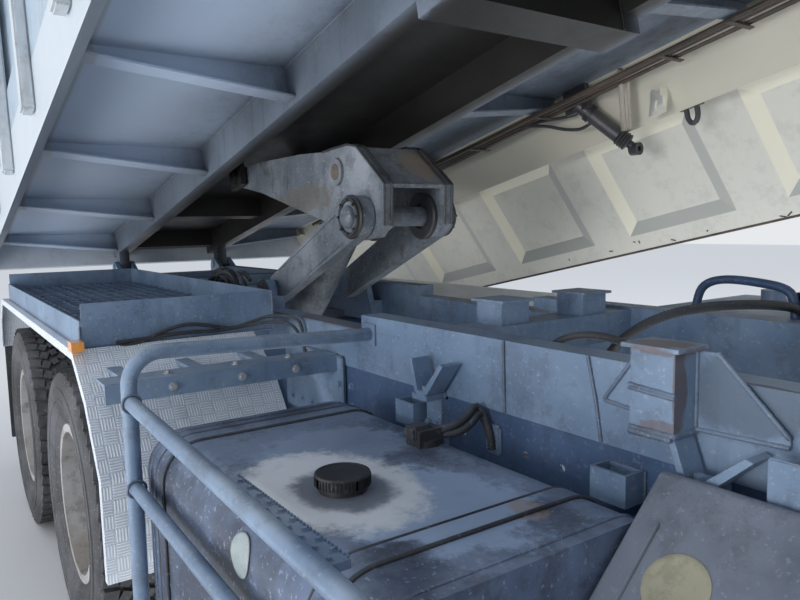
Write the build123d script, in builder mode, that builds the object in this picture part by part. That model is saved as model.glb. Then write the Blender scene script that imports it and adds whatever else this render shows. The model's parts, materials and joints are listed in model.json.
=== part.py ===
from build123d import *
import os
from math import atan2, cos, hypot, radians, sin

# A three-axle tipping truck with a steel drop-side body, shown tipped part of the way.
# Millimetres. +X points to the cab, +Y to the truck's left side, +Z up, Z = 0 is the ground.
# The body, its walls and its gates are drawn lowered and then turned about the rear hinge.

os.makedirs("parts", exist_ok=True)

# Driving dimensions of the chassis
hinge_x = -3580.0
hinge_z = 1300.0
rest_tilt = 12.0
rear_axle_x = (-1060.0, -2410.0)
front_axle_x = 2540.0
axle_z = 530.0
rail_out_y = 430.0
rail_top_z = 1100.0
rail_height = 280.0
rail_flange = 80.0
rail_web = 9.0
rail_rear_x = -3540.0
rail_front_x = 3700.0
subframe_out_y = 435.0
subframe_width = 80.0
subframe_top_z = 1285.0
subframe_rear_x = -3440.0
subframe_front_x = 1750.0
notch_x = (-880.0, -130.0)
notch_depth = 50.0
plate = 8.0
running_gap = 0.06
seat_gap = 0.3

# Wheels
tyre_radius = 530.0
tyre_half_width = 150.0
rim_radius = 286.0
rim_wall = 12.0
front_wheel_y = 1020.0
twin_outer_y = 1065.0
twin_spacing = 340.0
spindle_radius = 55.0
king_pin_y = 840.0
king_pin_radius = 24.0

# Hoist: two lower arms, a pair of upper plates and a cylinder, as (x, z) at the rest tilt
arm_foot = (-1280.0, 1280.0)
knee = (-535.0, 1610.0)
head_pin = (-740.0, 1798.0)
body_eye = (1900.0, 150.0)
cylinder_foot = (-1480.0, 1050.0)
upper_plate_y = (126.0, 163.0)
lower_arm_y = (168.0, 220.0)
hoist_pin = 40.0

# Body in its own lengths: s forward from the hinge, h above the hinge, when lowered
body_rear_s = -150.0
body_front_s = 5700.0
beam_out_y = 400.0
beam_width = 80.0
beam_bottom_h = 110.0
floor_h = 268.0
floor_plate = 8.0
wall_top_h = 1140.0
wall_thickness = 60.0
headboard_top_h = 1400.0
outrigger_pitch = 1010.0
outrigger_first_s = -40.0
gate_axis_y = 1268.0
gate_axis_h = 245.0
field_pitch = 878.0
field_width = 628.0
field_first_s = 237.0
field_h = (460.0, 1024.0)
field_depth = 26.0
field_taper = 69.0
field_count = 6
gate_open = 150.0

# Cab
cab_rear_x = 2290.0
cab_front_x = 3960.0
cab_half = 1190.0
cab_wall = 40.0
cab_roof_z = 2860.0
cab_floor_z = 1400.0
cab_sill_z = 900.0
cab_back_z = 1140.0
screen_base_z = 1960.0
screen_top_x = cab_front_x - 340.0
cab_pivot = (3860.0, 800.0)
door_length = 940.0
mirror_reach = 260.0
door_gap = 6.0
bumper_front_x = 4031.7

tilt_axis = Axis((hinge_x, 0, hinge_z), (0, 1, 0))

# The origin lies under the middle of the truck's box, which the open gate makes wider on the left
gate_top_h = 1130.0
gate_inner_y = 1190.0
gate_reach = (
    gate_axis_y
    + (gate_inner_y - gate_axis_y) * cos(radians(gate_open))
    + (gate_top_h - gate_axis_h) * sin(radians(gate_open))
)
centre_y = (gate_reach - cab_half - mirror_reach) / 2


def xz(y):
    """The upright plane at one y, with x along and z up, facing -Y."""
    return Plane.XZ.offset(-y)


def prism(plane, points, amount, both=False, mode=Mode.ADD):
    """Extrude the closed outline through these points from its plane."""
    with BuildSketch(plane) as face:
        with BuildLine():
            Polyline(*points, close=True)
        make_face()
    extrude(face.sketch, amount=amount, both=both, mode=mode)


def slab(x, y, z, mode=Mode.ADD):
    """A square-cornered block between pairs of x, y and z."""
    with Locations((sum(x) / 2, sum(y) / 2, sum(z) / 2)):
        Box(abs(x[1] - x[0]), abs(y[1] - y[0]), abs(z[1] - z[0]), mode=mode)


def bar_y(x, z, y, radius, mode=Mode.ADD):
    """A round bar along Y, from y[0] to y[1]."""
    with Locations(Location((x, sum(y) / 2, z), (90, 0, 0))):
        Cylinder(radius, abs(y[1] - y[0]), mode=mode)


def tube_path(points, bend, radius, mode=Mode.ADD):
    """A round tube that follows a path with equal bends."""
    with BuildLine() as path:
        if len(points) > 2:
            FilletPolyline(*points, radius=bend)
        else:
            Line(*points)
    with BuildSketch(Plane(path.line @ 0, z_dir=path.line % 0)) as ring:
        Circle(radius)
    sweep(ring.sketch, path=path.line, mode=mode)


def save(piece, name):
    """Move a finished piece to the origin's place, label it and write it."""
    piece.part = piece.part.moved(Location((0, -centre_y, 0)))
    piece.part.label = name
    export_step(piece.part, f"parts/{name}.step")


def save_tilted(piece, name):
    """Turn a piece of the tipping body from lowered to its rest tilt and write it."""
    piece.part = piece.part.rotate(tilt_axis, -rest_tilt)
    save(piece, name)


def body_xz(s, h):
    """The x and z of a point of the lowered body."""
    return hinge_x + s, hinge_z + h


def tilted_xz(s, h):
    """The x and z of a point of the body at the rest tilt."""
    a = radians(rest_tilt)
    return hinge_x + s * cos(a) - h * sin(a), hinge_z + s * sin(a) + h * cos(a)


# Frame rails, channels open inwards, with the cross members between them
rail_bottom_z = rail_top_z - rail_height
rail_in_y = rail_out_y - rail_flange
rail_cross_x = (-3480.0, -1735.0, -240.0, 1250.0, 3640.0)
with BuildPart() as frame_rails:
    for side in (-1, 1):
        prism(
            Plane.YZ.offset(rail_rear_x),
            [
                (side * rail_out_y, rail_bottom_z),
                (side * rail_out_y, rail_top_z),
                (side * rail_in_y, rail_top_z),
                (side * rail_in_y, rail_top_z - rail_web),
                (side * (rail_out_y - rail_web), rail_top_z - rail_web),
                (side * (rail_out_y - rail_web), rail_bottom_z + rail_web),
                (side * rail_in_y, rail_bottom_z + rail_web),
                (side * rail_in_y, rail_bottom_z),
            ],
            rail_front_x - rail_rear_x,
        )
    for x in rail_cross_x:
        slab((x - 40, x + 40), (-(rail_out_y - rail_web), rail_out_y - rail_web), (880, 1040))
    bar_y(
        cylinder_foot[0],
        cylinder_foot[1],
        (-(rail_out_y - rail_web), rail_out_y - rail_web),
        30.0,
    )
    with Locations(xz(0) * Location((560, 965, 0))):
        with GridLocations(118.0, 88.0, 6, 2):
            Cylinder(9.0, 2 * rail_out_y + 20, mode=Mode.SUBTRACT)
save(frame_rails, "frame_rails")

# Subframe with its welded rest posts, blocks, hoist bearings and rear hinge ears
subframe_in_y = subframe_out_y - subframe_width
post_x = (982.0, 1078.0)
post_y = (435.0, 512.0)
post_z = (1184.0, 1337.0)
block_x = 265.0
block_y = 175.0
block_half = 55.0
rest_top_z = 1350.0
ear_radius = 52.0
hinge_pin = 30.0
with BuildPart() as subframe:
    for side in (-1, 1):
        prism(
            xz(side * (subframe_out_y - subframe_width / 2)),
            [
                (subframe_rear_x, rail_top_z),
                (subframe_rear_x, subframe_top_z),
                (notch_x[0], subframe_top_z),
                (notch_x[0], subframe_top_z - notch_depth),
                (notch_x[1], subframe_top_z - notch_depth),
                (notch_x[1], subframe_top_z),
                (subframe_front_x - 120, subframe_top_z),
                (subframe_front_x, rail_top_z + 30),
                (subframe_front_x, rail_top_z),
            ],
            subframe_width / 2,
            both=True,
        )
        y0, y1 = sorted((side * subframe_out_y, side * (subframe_out_y + plate)))
        slab((-700, -245), (y0, y1), (880, 1125))
        slab((post_x[0], post_x[1]), sorted((side * post_y[0], side * post_y[1])), post_z)
        slab(
            (post_x[0] - 14, post_x[1] + 14),
            sorted((side * (post_y[0] - 6), side * (post_y[1] + 12))),
            (post_z[1], post_z[1] + plate),
        )
        for gusset in (
            [(867, 1200), (943, 1304), (post_x[0], 1304), (post_x[0], 1190)],
            [(post_x[1], 1186), (post_x[1], 1334), (1118, 1334), (1251, 1205), (1251, 1192)],
        ):
            prism(xz(side * (subframe_out_y + plate / 2)), gusset, plate / 2, both=True)
        slab(
            (block_x - block_half, block_x + block_half),
            (side * block_y - block_half, side * block_y + block_half),
            (subframe_top_z - 10, rest_top_z - plate),
        )
        slab(
            (block_x - 70, block_x + 70),
            (side * block_y - 65, side * block_y + 65),
            (rest_top_z - plate, rest_top_z),
        )
        for near, far in ((302.0, 328.0), (412.0, 438.0)):
            prism(
                xz(side * (near + far) / 2),
                [
                    (subframe_rear_x, rail_top_z),
                    (subframe_rear_x, subframe_top_z),
                    (hinge_x + 20, hinge_z + ear_radius - 4),
                    (hinge_x - 20, hinge_z + ear_radius - 4),
                    (hinge_x - ear_radius, hinge_z - 10),
                    (hinge_x - 30, rail_top_z),
                ],
                (far - near) / 2,
                both=True,
            )
        bar_y(hinge_x, hinge_z, sorted((side * 296, side * 444)), hinge_pin)
        prism(
            xz(side * 260),
            [
                (arm_foot[0] - 150, rail_top_z),
                (arm_foot[0] - 60, arm_foot[1] + 50),
                (arm_foot[0] + 60, arm_foot[1] + 50),
                (arm_foot[0] + 150, rail_top_z),
            ],
            15,
            both=True,
        )
        slab(
            (arm_foot[0] - 60, arm_foot[0] + 60),
            sorted((side * 275, side * subframe_in_y)),
            (rail_top_z, rail_top_z + 90),
        )
        bar_y(*arm_foot, sorted((side * lower_arm_y[0], side * 275)), hoist_pin)
    slab(
        (subframe_rear_x - 60, subframe_rear_x + 60),
        (-subframe_out_y, subframe_out_y),
        (rail_top_z, subframe_top_z - 30),
    )
    for x in (-2500.0, -1720.0, block_x, 1500.0):
        slab((x - 60, x + 60), (-subframe_in_y, subframe_in_y), (1180, subframe_top_z - 10))
save(subframe, "subframe")

# Guide brackets with bent horns, and square-tube sockets, bolted to the rails
horn_sets = (
    # side, x, reach to the back, reach to the front, base z, rise
    (-1, 285.0, 45.0, 106.0, 1110.0, 92.0),
    (-1, 1110.0, 46.0, 114.0, 1095.0, 76.0),
    (1, 180.0, 45.0, 106.0, 1110.0, 92.0),
    (1, 1110.0, 46.0, 114.0, 1095.0, 76.0),
)
sockets = ((-1, 190.0), (-1, 915.0), (1, -20.0))
with BuildPart() as guide_brackets:
    for side, x, back, front, base_z, rise in horn_sets:
        for tip, root, thick in ((-back, -20.0, 12.0), (front, 30.0, -14.0)):
            prism(
                xz(side * (subframe_out_y + 42)),
                [
                    (x, base_z - 2),
                    (x + root, base_z - 2),
                    (x + tip, base_z + rise),
                    (x + tip + thick, base_z + rise + 4),
                    (x + root + thick, base_z + 10),
                    (x, base_z + 10),
                ],
                30,
                both=True,
            )
        slab(
            (x - 34, x + 34),
            sorted((side * rail_out_y, side * (rail_out_y + 26))),
            (900, rail_top_z),
        )
        slab(
            (x - 34, x + 34),
            sorted((side * subframe_out_y, side * (subframe_out_y + 72))),
            (base_z - 16, base_z),
        )
        slab(
            (x - 34, x + 34),
            sorted((side * subframe_out_y, side * (subframe_out_y + 21))),
            (1060, base_z),
        )
    for side, x in sockets:
        y0, y1 = sorted((side * rail_out_y, side * (rail_out_y + 62)))
        slab((x - 45, x + 45), (y0, y1), (1000, 1068))
        slab((x - 38, x + 38), (y0 + 7, y1 - 7), (1000, 1068), mode=Mode.SUBTRACT)
save(guide_brackets, "guide_brackets")

# Front bumper with its step wells and lamp pockets
bumper_z = (380.0, 745.0)
bumper_half = 1230.0
step_rear_x = 3310.0
lamp_y = (860.0, 1140.0)
lamp_z = (500.0, 660.0)
lamp_depth = 70.0
with BuildPart() as front_bumper:
    with BuildSketch(Plane.XY.offset(bumper_z[0])):
        with BuildLine():
            Polyline(
                (bumper_front_x, 0),
                (bumper_front_x, 760),
                (bumper_front_x - 60, 1130),
                (bumper_front_x - 240, bumper_half),
                (step_rear_x, bumper_half),
                (step_rear_x, 900),
                (3690, 900),
                (3690, 700),
                (bumper_front_x - 120, 620),
                (bumper_front_x - 120, 0),
                close=True,
            )
        make_face()
        mirror(about=Plane.XZ)
    extrude(amount=bumper_z[1] - bumper_z[0])
    for side in (-1, 1):
        slab(
            (step_rear_x + 60, 3640),
            sorted((side * 1010, side * (bumper_half + 1))),
            (500, 700),
            mode=Mode.SUBTRACT,
        )
        slab((step_rear_x, 3660), sorted((side * 1170, side * bumper_half)), (745, 870))
        slab((step_rear_x, 3660), sorted((side * 960, side * bumper_half)), (840, 870))
        slab(
            (bumper_front_x - 60 - lamp_depth, bumper_front_x + 1),
            sorted((side * lamp_y[0], side * lamp_y[1])),
            lamp_z,
            mode=Mode.SUBTRACT,
        )
        slab(
            (rail_front_x, cab_pivot[0] + 40),
            sorted((side * (rail_in_y - 5), side * rail_out_y)),
            (bumper_z[1] - 40, 1000),
        )
        slab(
            (rail_front_x, bumper_front_x - 115),
            sorted((side * (rail_in_y - 5), side * rail_out_y)),
            (560, 745),
        )
        bar_y(*cab_pivot, sorted((side * 258, side * rail_in_y)), 25)
save(front_bumper, "front_bumper")

# Lamps: two at the front, one each side on the wings, two at the back
with BuildPart() as lamps:
    for side in (-1, 1):
        prism(
            Plane.XY.offset(lamp_z[0]),
            [
                (bumper_front_x - 60 - lamp_depth, side * lamp_y[0]),
                (bumper_front_x - 60 - lamp_depth, side * lamp_y[1]),
                (bumper_front_x - 70, side * lamp_y[1]),
                (bumper_front_x - 25, side * lamp_y[0]),
            ],
            lamp_z[1] - lamp_z[0],
        )
        slab((-650, -585), sorted((side * 1200, side * 1238)), (1190, 1222))
        slab((-3760, -3700), sorted((side * 840, side * 1110)), (505, 625))
save(lamps, "lamps")

# Front axle beam with its drop and king-pin eyes
with BuildPart() as front_axle:
    with BuildSketch(Plane.YZ.offset(front_axle_x - 45)):
        with BuildLine():
            Polyline(
                (0, 420),
                (520, 420),
                (700, 480),
                (king_pin_y - 45, 480),
                (king_pin_y - 45, 580),
                (700, 580),
                (520, 520),
                (0, 520),
                close=True,
            )
        make_face()
        mirror(about=Plane.YZ)
    extrude(amount=90)
    for side in (-1, 1):
        with Locations((front_axle_x, side * king_pin_y, axle_z)):
            Cylinder(48, 110)
            Cylinder(king_pin_radius, 260)
save(front_axle, "front_axle")

# Rear axle housings with their differential bowls, spring seats and hub spindles
pinion_reach = 225.0
spring_y = (345.0, 425.0)
spring_seat_z = axle_z + 75.0
with BuildPart() as rear_axles:
    for x in rear_axle_x:
        bar_y(x, axle_z, (-590, 590), 72)
        bar_y(x, axle_z, (-1010, 1010), spindle_radius)
        with Locations((x, 0, axle_z)):
            Sphere(200)
        with Locations(Location((x, 0, axle_z), (0, 90, 0))):
            Cylinder(62, 2 * pinion_reach)
        for side in (-1, 1):
            bar_y(x, axle_z, sorted((side * 560, side * 585)), 205)
            slab(
                (x - 60, x + 60),
                sorted((side * spring_y[0], side * spring_y[1])),
                (axle_z, spring_seat_z),
            )
save(rear_axles, "rear_axles")

# Leaf springs: bogie packs at the back on a trunnion, long leaves at the front
bogie_x = (rear_axle_x[0] + rear_axle_x[1]) / 2
with BuildPart() as springs:
    for side in (-1, 1):
        mid = side * (spring_y[0] + spring_y[1]) / 2
        half = (spring_y[1] - spring_y[0]) / 2
        prism(
            xz(mid),
            [
                (rear_axle_x[1] - 90, spring_seat_z),
                (rear_axle_x[1] + 90, spring_seat_z),
                (bogie_x - 160, axle_z + 100),
                (bogie_x + 160, axle_z + 100),
                (rear_axle_x[0] - 90, spring_seat_z),
                (rear_axle_x[0] + 90, spring_seat_z),
                (rear_axle_x[0] + 90, axle_z + 100),
                (bogie_x + 130, axle_z + 210),
                (bogie_x - 130, axle_z + 210),
                (rear_axle_x[1] - 90, axle_z + 100),
            ],
            half,
            both=True,
        )
        prism(
            xz(mid),
            [
                (bogie_x - 120, axle_z + 205),
                (bogie_x + 120, axle_z + 205),
                (bogie_x + 180, rail_bottom_z),
                (bogie_x - 180, rail_bottom_z),
            ],
            half,
            both=True,
        )
        with BuildSketch(xz(mid)) as leaf:
            with BuildLine():
                ThreePointArc((1720, 760), (front_axle_x, 600), (3260, 760))
                Line((3260, 760), (3260, 728))
                ThreePointArc((3260, 728), (front_axle_x, 530), (1720, 728))
                Line((1720, 728), (1720, 760))
            make_face()
        extrude(leaf.sketch, amount=half, both=True)
        slab((front_axle_x - 70, front_axle_x + 70), (mid - half, mid + half), (520, 570))
        slab((1690, 1750), (mid - half, mid + half), (725, rail_bottom_z))
        slab((3230, 3290), (mid - half, mid + half), (725, rail_bottom_z))
save(springs, "springs")

# Engine as one plain block, and the radiator ahead of it
with BuildPart() as engine:
    slab((2400, 3420), (-300, 300), (660, 1360))
    slab((3480, 3580), (-rail_in_y, rail_in_y), (640, 1340))
save(engine, "engine_and_radiator")

# Gearbox and propeller shafts to the two driven axles
shaft_radius = 52.0
shaft_front_x = 1500.0
shaft_z = 830.0
pinion_x = rear_axle_x[0] + pinion_reach
with BuildPart() as driveline:
    with BuildSketch(Plane.YZ.offset(2400)):
        with Locations((0, shaft_z)):
            Rectangle(440, 440)
    with BuildSketch(Plane.YZ.offset(shaft_front_x)):
        with Locations((0, shaft_z)):
            Rectangle(240, 260)
    loft()
    span = (shaft_front_x - pinion_x, shaft_z - axle_z)
    with BuildSketch(
        Plane(
            (pinion_x - span[0] / 20, 0, axle_z - span[1] / 20),
            x_dir=(0, 1, 0),
            z_dir=(span[0], 0, span[1]),
        )
    ) as shaft:
        Circle(shaft_radius)
    extrude(shaft.sketch, amount=1.06 * hypot(*span))
    slab((pinion_x - 400, pinion_x), (-200, 200), (300, 700), mode=Mode.SUBTRACT)
    with Locations(Location(((rear_axle_x[0] + rear_axle_x[1]) / 2, 0, axle_z), (0, 90, 0))):
        Cylinder(shaft_radius, rear_axle_x[0] - rear_axle_x[1] - 2 * pinion_reach)
save(driveline, "gearbox_and_shafts")

# Fuel tank with two double straps, hung on the right rail
tank_x = (-80.0, 1048.0)
tank_y = (-1150.0, -495.0)
tank_z = (480.0, 1030.0)
tank_round = 100.0
strap_x = (40.0, 880.0)
strap_proud = 5.0
with BuildPart() as fuel_tank:
    slab(tank_x, tank_y, tank_z)
    fillet(fuel_tank.edges().filter_by(Axis.X), tank_round)
    for x in strap_x:
        with BuildSketch(Plane.YZ.offset(x - 26)):
            with Locations((sum(tank_y) / 2, sum(tank_z) / 2)):
                RectangleRounded(
                    tank_y[1] - tank_y[0] + 2 * strap_proud,
                    tank_z[1] - tank_z[0] + 2 * strap_proud,
                    tank_round + strap_proud,
                )
        extrude(amount=52)
        slab((x - 35, x + 35), (tank_y[1], -rail_out_y), (840, 930))
save(fuel_tank, "fuel_tank")

# Filler cap and level sender on top of the tank
cap_at = (587.0, -926.0)
sender_at = (447.0, -608.0)
with BuildPart() as tank_fittings:
    with Locations((*cap_at, tank_z[1])):
        Cylinder(50, 14, align=(Align.CENTER, Align.CENTER, Align.MIN))
    with Locations((*cap_at, tank_z[1] + 12)):
        Cylinder(58, 26, align=(Align.CENTER, Align.CENTER, Align.MIN))
    with Locations((*sender_at, tank_z[1])):
        Cylinder(38, 16, align=(Align.CENTER, Align.CENTER, Align.MIN))
        Box(56, 74, 42, align=(Align.CENTER, Align.CENTER, Align.MIN))
save(tank_fittings, "tank_fittings")

# Tube guard around the tank, with a serrated tread strip on its upper rail
rail_tube = 21.0
guard_y = -1188.0
guard_x = (-75.0, 1130.0)
with BuildPart() as side_handrail:
    tube_path(
        [
            (guard_x[0], -subframe_out_y - 5, 1228),
            (guard_x[0], guard_y, 1254),
            (guard_x[0], guard_y, 400),
        ],
        85.0,
        rail_tube,
    )
    tube_path(
        [
            (guard_x[0], guard_y, 1125),
            (guard_x[1], guard_y, 1085),
            (guard_x[1], guard_y, 425),
            (guard_x[0], guard_y, 425),
        ],
        60.0,
        rail_tube - 1.5,
    )
    tube_path([(guard_x[0], guard_y, 895), (guard_x[1], guard_y, 865)], 0, rail_tube - 3)
    slab((guard_x[0] - 34, guard_x[0] + 34), (-subframe_out_y - 7, -subframe_out_y), (1194, 1262))
    slab((560, 985), (guard_y + 8, guard_y + 48), (1086, 1100))
    slab((guard_x[1] - 18, guard_x[1] + 18), (guard_y, -rail_out_y - 10), (405, 435))
    slab((guard_x[1] - 18, guard_x[1] + 18), (-rail_out_y - 10, -rail_out_y), (405, 900))
save(side_handrail, "side_handrail")

# Battery box under a sloping moulded cover
with BuildPart() as battery_cover:
    prism(
        Plane.YZ.offset(1062),
        [(-512, 480), (-512, 1118), (-532, 1118), (-1110, 572), (-1140, 530), (-1140, 480)],
        760,
    )
    slab((1300, 1400), (-512, -rail_out_y), (840, 960))
    slab((1650, 1750), (-512, -rail_out_y), (840, 960))
save(battery_cover, "battery_cover")

# Oil tank for the hoist on the left rail
oil_x = (320.0, 940.0)
oil_y = (475.0, 1120.0)
with BuildPart() as oil_tank:
    slab(oil_x, oil_y, (620, 1275))
    fillet(oil_tank.edges().filter_by(Axis.X), 45)
    with Locations((480 + 10, 960, 1275)):
        Cylinder(42, 38, align=(Align.CENTER, Align.CENTER, Align.MIN))
    for x in (450.0, 800.0):
        slab((x - 35, x + 35), (rail_out_y, oil_y[0]), (840, 960))
save(oil_tank, "oil_tank")

# Air tanks on the left, in a pair of hangers
with BuildPart() as air_tanks:
    for z in (590.0, 830.0):
        with Locations(Location((20, 570, z), (0, 90, 0))):
            Cylinder(112, 480)
    fillet(air_tanks.edges().filter_by(GeomType.CIRCLE), 38)
    for x in (-150.0, 80.0):
        slab((x - 18, x + 18), (rail_out_y, 470), (560, 930))
save(air_tanks, "air_tanks")

# Exhaust silencer on the left behind the front wheel
with BuildPart() as silencer:
    with Locations(Location((1570, 690, 640), (0, 90, 0))):
        Cylinder(170, 460)
    fillet(silencer.edges().filter_by(GeomType.CIRCLE), 25)
    slab((1530, 1610), (rail_out_y, 560), (830, 900))
    slab((1530, 1610), (540, 640), (740, 900))
save(silencer, "silencer")

# Chequer-plate wings over the rear wheels, one sheet a side with a folded outer lip
wing_y = (600.0, 1230.0)
wing_line = [
    (-290.0, 200.0),
    (-300.0, 850.0),
    (-460.0, 1062.0),
    (-640.0, 1190.0),
    (-2870.0, 1190.0),
    (-3020.0, 1060.0),
    (-3080.0, 860.0),
    (-3080.0, 200.0),
]
wing_sheet = 5.0
wing_lip = 32.0
wing_hem_z = (535.0, 880.0)
with BuildPart() as rear_fenders:
    for side in (-1, 1):
        near, far = side * wing_y[0], side * wing_y[1]
        prism(xz((near + far) / 2), wing_line, abs(far - near) / 2, both=True)
        for inset, reach in ((wing_sheet, wing_sheet), (wing_lip, -1.0)):
            edge = far - side * reach
            with BuildSketch(xz((near - side + edge) / 2)) as hollow:
                with BuildLine():
                    Polyline(*wing_line, close=True)
                make_face()
                offset(amount=-inset, kind=Kind.INTERSECTION)
            extrude(hollow.sketch, amount=abs(edge - near + side) / 2, both=True, mode=Mode.SUBTRACT)
    slab((-3100, 0), (-1300, 1300), (100, wing_hem_z[0]), mode=Mode.SUBTRACT)
    slab((-3100, -2900), (-1300, 1300), (100, wing_hem_z[1]), mode=Mode.SUBTRACT)
save(rear_fenders, "rear_fenders")

# Arms that carry the wings, and a bolted angle across the front of each
angle_z = 1134.0
angle_y = (subframe_out_y + plate, 1205.0)
slope = (wing_line[3][0] - wing_line[2][0]) / (wing_line[3][1] - wing_line[2][1])
angle_back = [wing_line[2][0] + slope * (z - wing_line[2][1]) for z in (angle_z - 14, angle_z)]
with BuildPart() as fender_brackets:
    for side in (-1, 1):
        prism(
            xz(side * (angle_y[0] + angle_y[1]) / 2),
            [
                (-290, angle_z),
                (-400, angle_z),
                (-400, angle_z - 8),
                (-298, angle_z - 8),
                (-298, angle_z - 60),
                (-290, angle_z - 60),
            ],
            (angle_y[1] - angle_y[0]) / 2,
            both=True,
        )
        for y in (680.0, 900.0, 1120.0):
            prism(
                xz(side * y),
                [
                    (-395, angle_z - 14),
                    (-395, angle_z),
                    (angle_back[1], angle_z),
                    (angle_back[0], angle_z - 14),
                ],
                22,
                both=True,
            )
        for x in (-900.0, -1735.0, -2600.0):
            slab((x - 30, x + 30), sorted((side * subframe_out_y, side * 1180)), (1135, 1185))
save(fender_brackets, "fender_brackets")

# Open tray with a grating on top of the right wing
tray_x = (-2760.0, -650.0)
tray_y = (-1200.0, -516.0)
tray_z = (1190.0, 1338.0)
tray_outer_z = 1262.0
tray_sheet = 6.0
with BuildPart() as tool_tray:
    slab(tray_x, tray_y, tray_z)
    slab(
        (tray_x[0] + tray_sheet, tray_x[1] - tray_sheet),
        (tray_y[0] + tray_sheet, tray_y[1] - tray_sheet),
        (tray_z[0] + tray_sheet, tray_z[1] + 1),
        mode=Mode.SUBTRACT,
    )
    slab(
        (tray_x[0] - 1, tray_x[1] + 1),
        (tray_y[0] - 1, tray_y[0] + tray_sheet + 1),
        (tray_outer_z + 20, tray_z[1] + 1),
        mode=Mode.SUBTRACT,
    )
    for count in range(11):
        y = tray_y[0] + 60 + count * 56
        slab((tray_x[0] + 2, tray_x[1] - 2), (y - 4, y + 4), (tray_outer_z - 34, tray_outer_z - 4))
    for count in range(6):
        x = tray_x[0] + 180 + count * 350
        slab((x - 5, x + 5), (tray_y[0] + 2, tray_y[1] - 2), (tray_outer_z - 40, tray_outer_z - 16))
save(tool_tray, "tool_tray")

# Rear under-run bar with its hangers
with BuildPart() as rear_bumper:
    slab((-3640, -3540), (-1150, 1150), (460, 570))
    for side in (-1, 1):
        slab((-3600, -3540), sorted((side * 345, side * 430)), (560, 1000))
        slab((-3760, -3640), sorted((side * 820, side * 1130)), (485, 505))
save(rear_bumper, "rear_bumper")

# Front mudguards, half rings over the steered wheels
guard_radius = 660.0
with BuildPart() as front_mudguards:
    for side in (-1, 1):
        with BuildSketch(xz(side * 1002)) as arch:
            with Locations((front_axle_x, axle_z)):
                Circle(guard_radius + 8)
                Circle(guard_radius, mode=Mode.SUBTRACT)
            with Locations((front_axle_x, axle_z - 330)):
                Rectangle(1500, 1000, mode=Mode.SUBTRACT)
        extrude(arch.sketch, amount=132, both=True)
        slab((2500, 2580), sorted((side * rail_out_y, side * 866)), (1070, 1098))
        slab((2500, 2580), sorted((side * 820, side * 872)), (1070, axle_z + guard_radius + 4))
save(front_mudguards, "front_mudguards")

# Cab shell: hollow, with door openings, windows, arches and its tilt lugs
screen_slope = (cab_front_x - screen_top_x) / (cab_roof_z - screen_base_z)
door_x = (cab_front_x - 270 - door_length, cab_front_x - 270)
door_z = (985.0, 2650.0)
arch_radius = 702.0
cab_line = [
    (cab_rear_x, cab_back_z),
    (cab_rear_x, cab_roof_z - 60),
    (cab_rear_x + 80, cab_roof_z),
    (screen_top_x, cab_roof_z),
    (cab_front_x, screen_base_z),
    (cab_front_x, cab_sill_z),
    (front_axle_x + arch_radius + 8, cab_sill_z),
    (front_axle_x + arch_radius + 8, cab_back_z),
]
screen_mid = ((screen_top_x + cab_front_x) / 2, 0, (cab_roof_z + screen_base_z) / 2)
screen_plane = Plane(screen_mid, x_dir=(0, 1, 0), z_dir=(1, 0, screen_slope))
screen_size = (2060.0, 800.0)
rear_window = ((-470.0, 470.0), (1960.0, 2460.0))


def door_outline(grow):
    """The door's side outline, larger by the given gap on every side."""
    low, high = door_z[0] - grow, door_z[1] + grow
    front = door_x[1] + grow
    lean = 1.08 * grow
    return [
        (door_x[0] - grow, low),
        (front, low),
        (front, screen_base_z),
        (front + lean - grow - screen_slope * (high - screen_base_z), high),
        (door_x[0] - grow, high),
    ]


with BuildPart() as cab_shell:
    prism(xz(0), cab_line, cab_half, both=True)
    with BuildSketch(xz(0)) as room:
        with BuildLine():
            Polyline(
                (cab_rear_x + cab_wall, cab_floor_z + cab_wall),
                (cab_rear_x + cab_wall, cab_roof_z - cab_wall),
                (screen_top_x - 27, cab_roof_z - cab_wall),
                (cab_front_x - cab_wall, screen_base_z - 6),
                (cab_front_x - cab_wall, cab_floor_z + cab_wall),
                close=True,
            )
        make_face()
    extrude(room.sketch, amount=cab_half - cab_wall, both=True, mode=Mode.SUBTRACT)
    slab(
        (cab_rear_x + cab_wall, cab_front_x - cab_wall),
        (cab_wall - cab_half, cab_half - cab_wall),
        (cab_sill_z - 1, cab_floor_z),
        mode=Mode.SUBTRACT,
    )
    slab((cab_rear_x - 1, 2500), (-420, 420), (cab_sill_z, cab_floor_z), mode=Mode.SUBTRACT)
    with Locations(Location((front_axle_x, 0, axle_z), (90, 0, 0))):
        Cylinder(arch_radius, 2 * cab_half + 2, mode=Mode.SUBTRACT)
    for side in (-1, 1):
        prism(
            xz(side * (cab_half - cab_wall / 2)),
            door_outline(door_gap),
            cab_wall / 2 + 1,
            both=True,
            mode=Mode.SUBTRACT,
        )
    with BuildSketch(screen_plane) as screen:
        Rectangle(*screen_size)
    extrude(screen.sketch, amount=80, both=True, mode=Mode.SUBTRACT)
    slab((cab_rear_x - 1, cab_rear_x + cab_wall + 1), *rear_window, mode=Mode.SUBTRACT)
    for side in (-1, 1):
        prism(
            xz(side * 276),
            [
                (cab_front_x - cab_wall + 5, 1120),
                (cab_front_x - cab_wall + 5, 905),
                (cab_pivot[0] + 35, 760),
                (cab_pivot[0] - 35, 760),
                (cab_pivot[0] - 42, 830),
                (cab_pivot[0] + 40, 1120),
            ],
            14,
            both=True,
        )
        bar_y(*cab_pivot, sorted((side * 255, side * 300)), 25 + running_gap, mode=Mode.SUBTRACT)
save(cab_shell, "cab_shell")

# Glass of the windscreen and the rear window
with BuildPart() as cab_glass:
    with BuildSketch(screen_plane.offset(-22)) as pane:
        Rectangle(*screen_size)
    extrude(pane.sketch, amount=6)
    slab((cab_rear_x + 12, cab_rear_x + 18), *rear_window)
save(cab_glass, "cab_glass")

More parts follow.
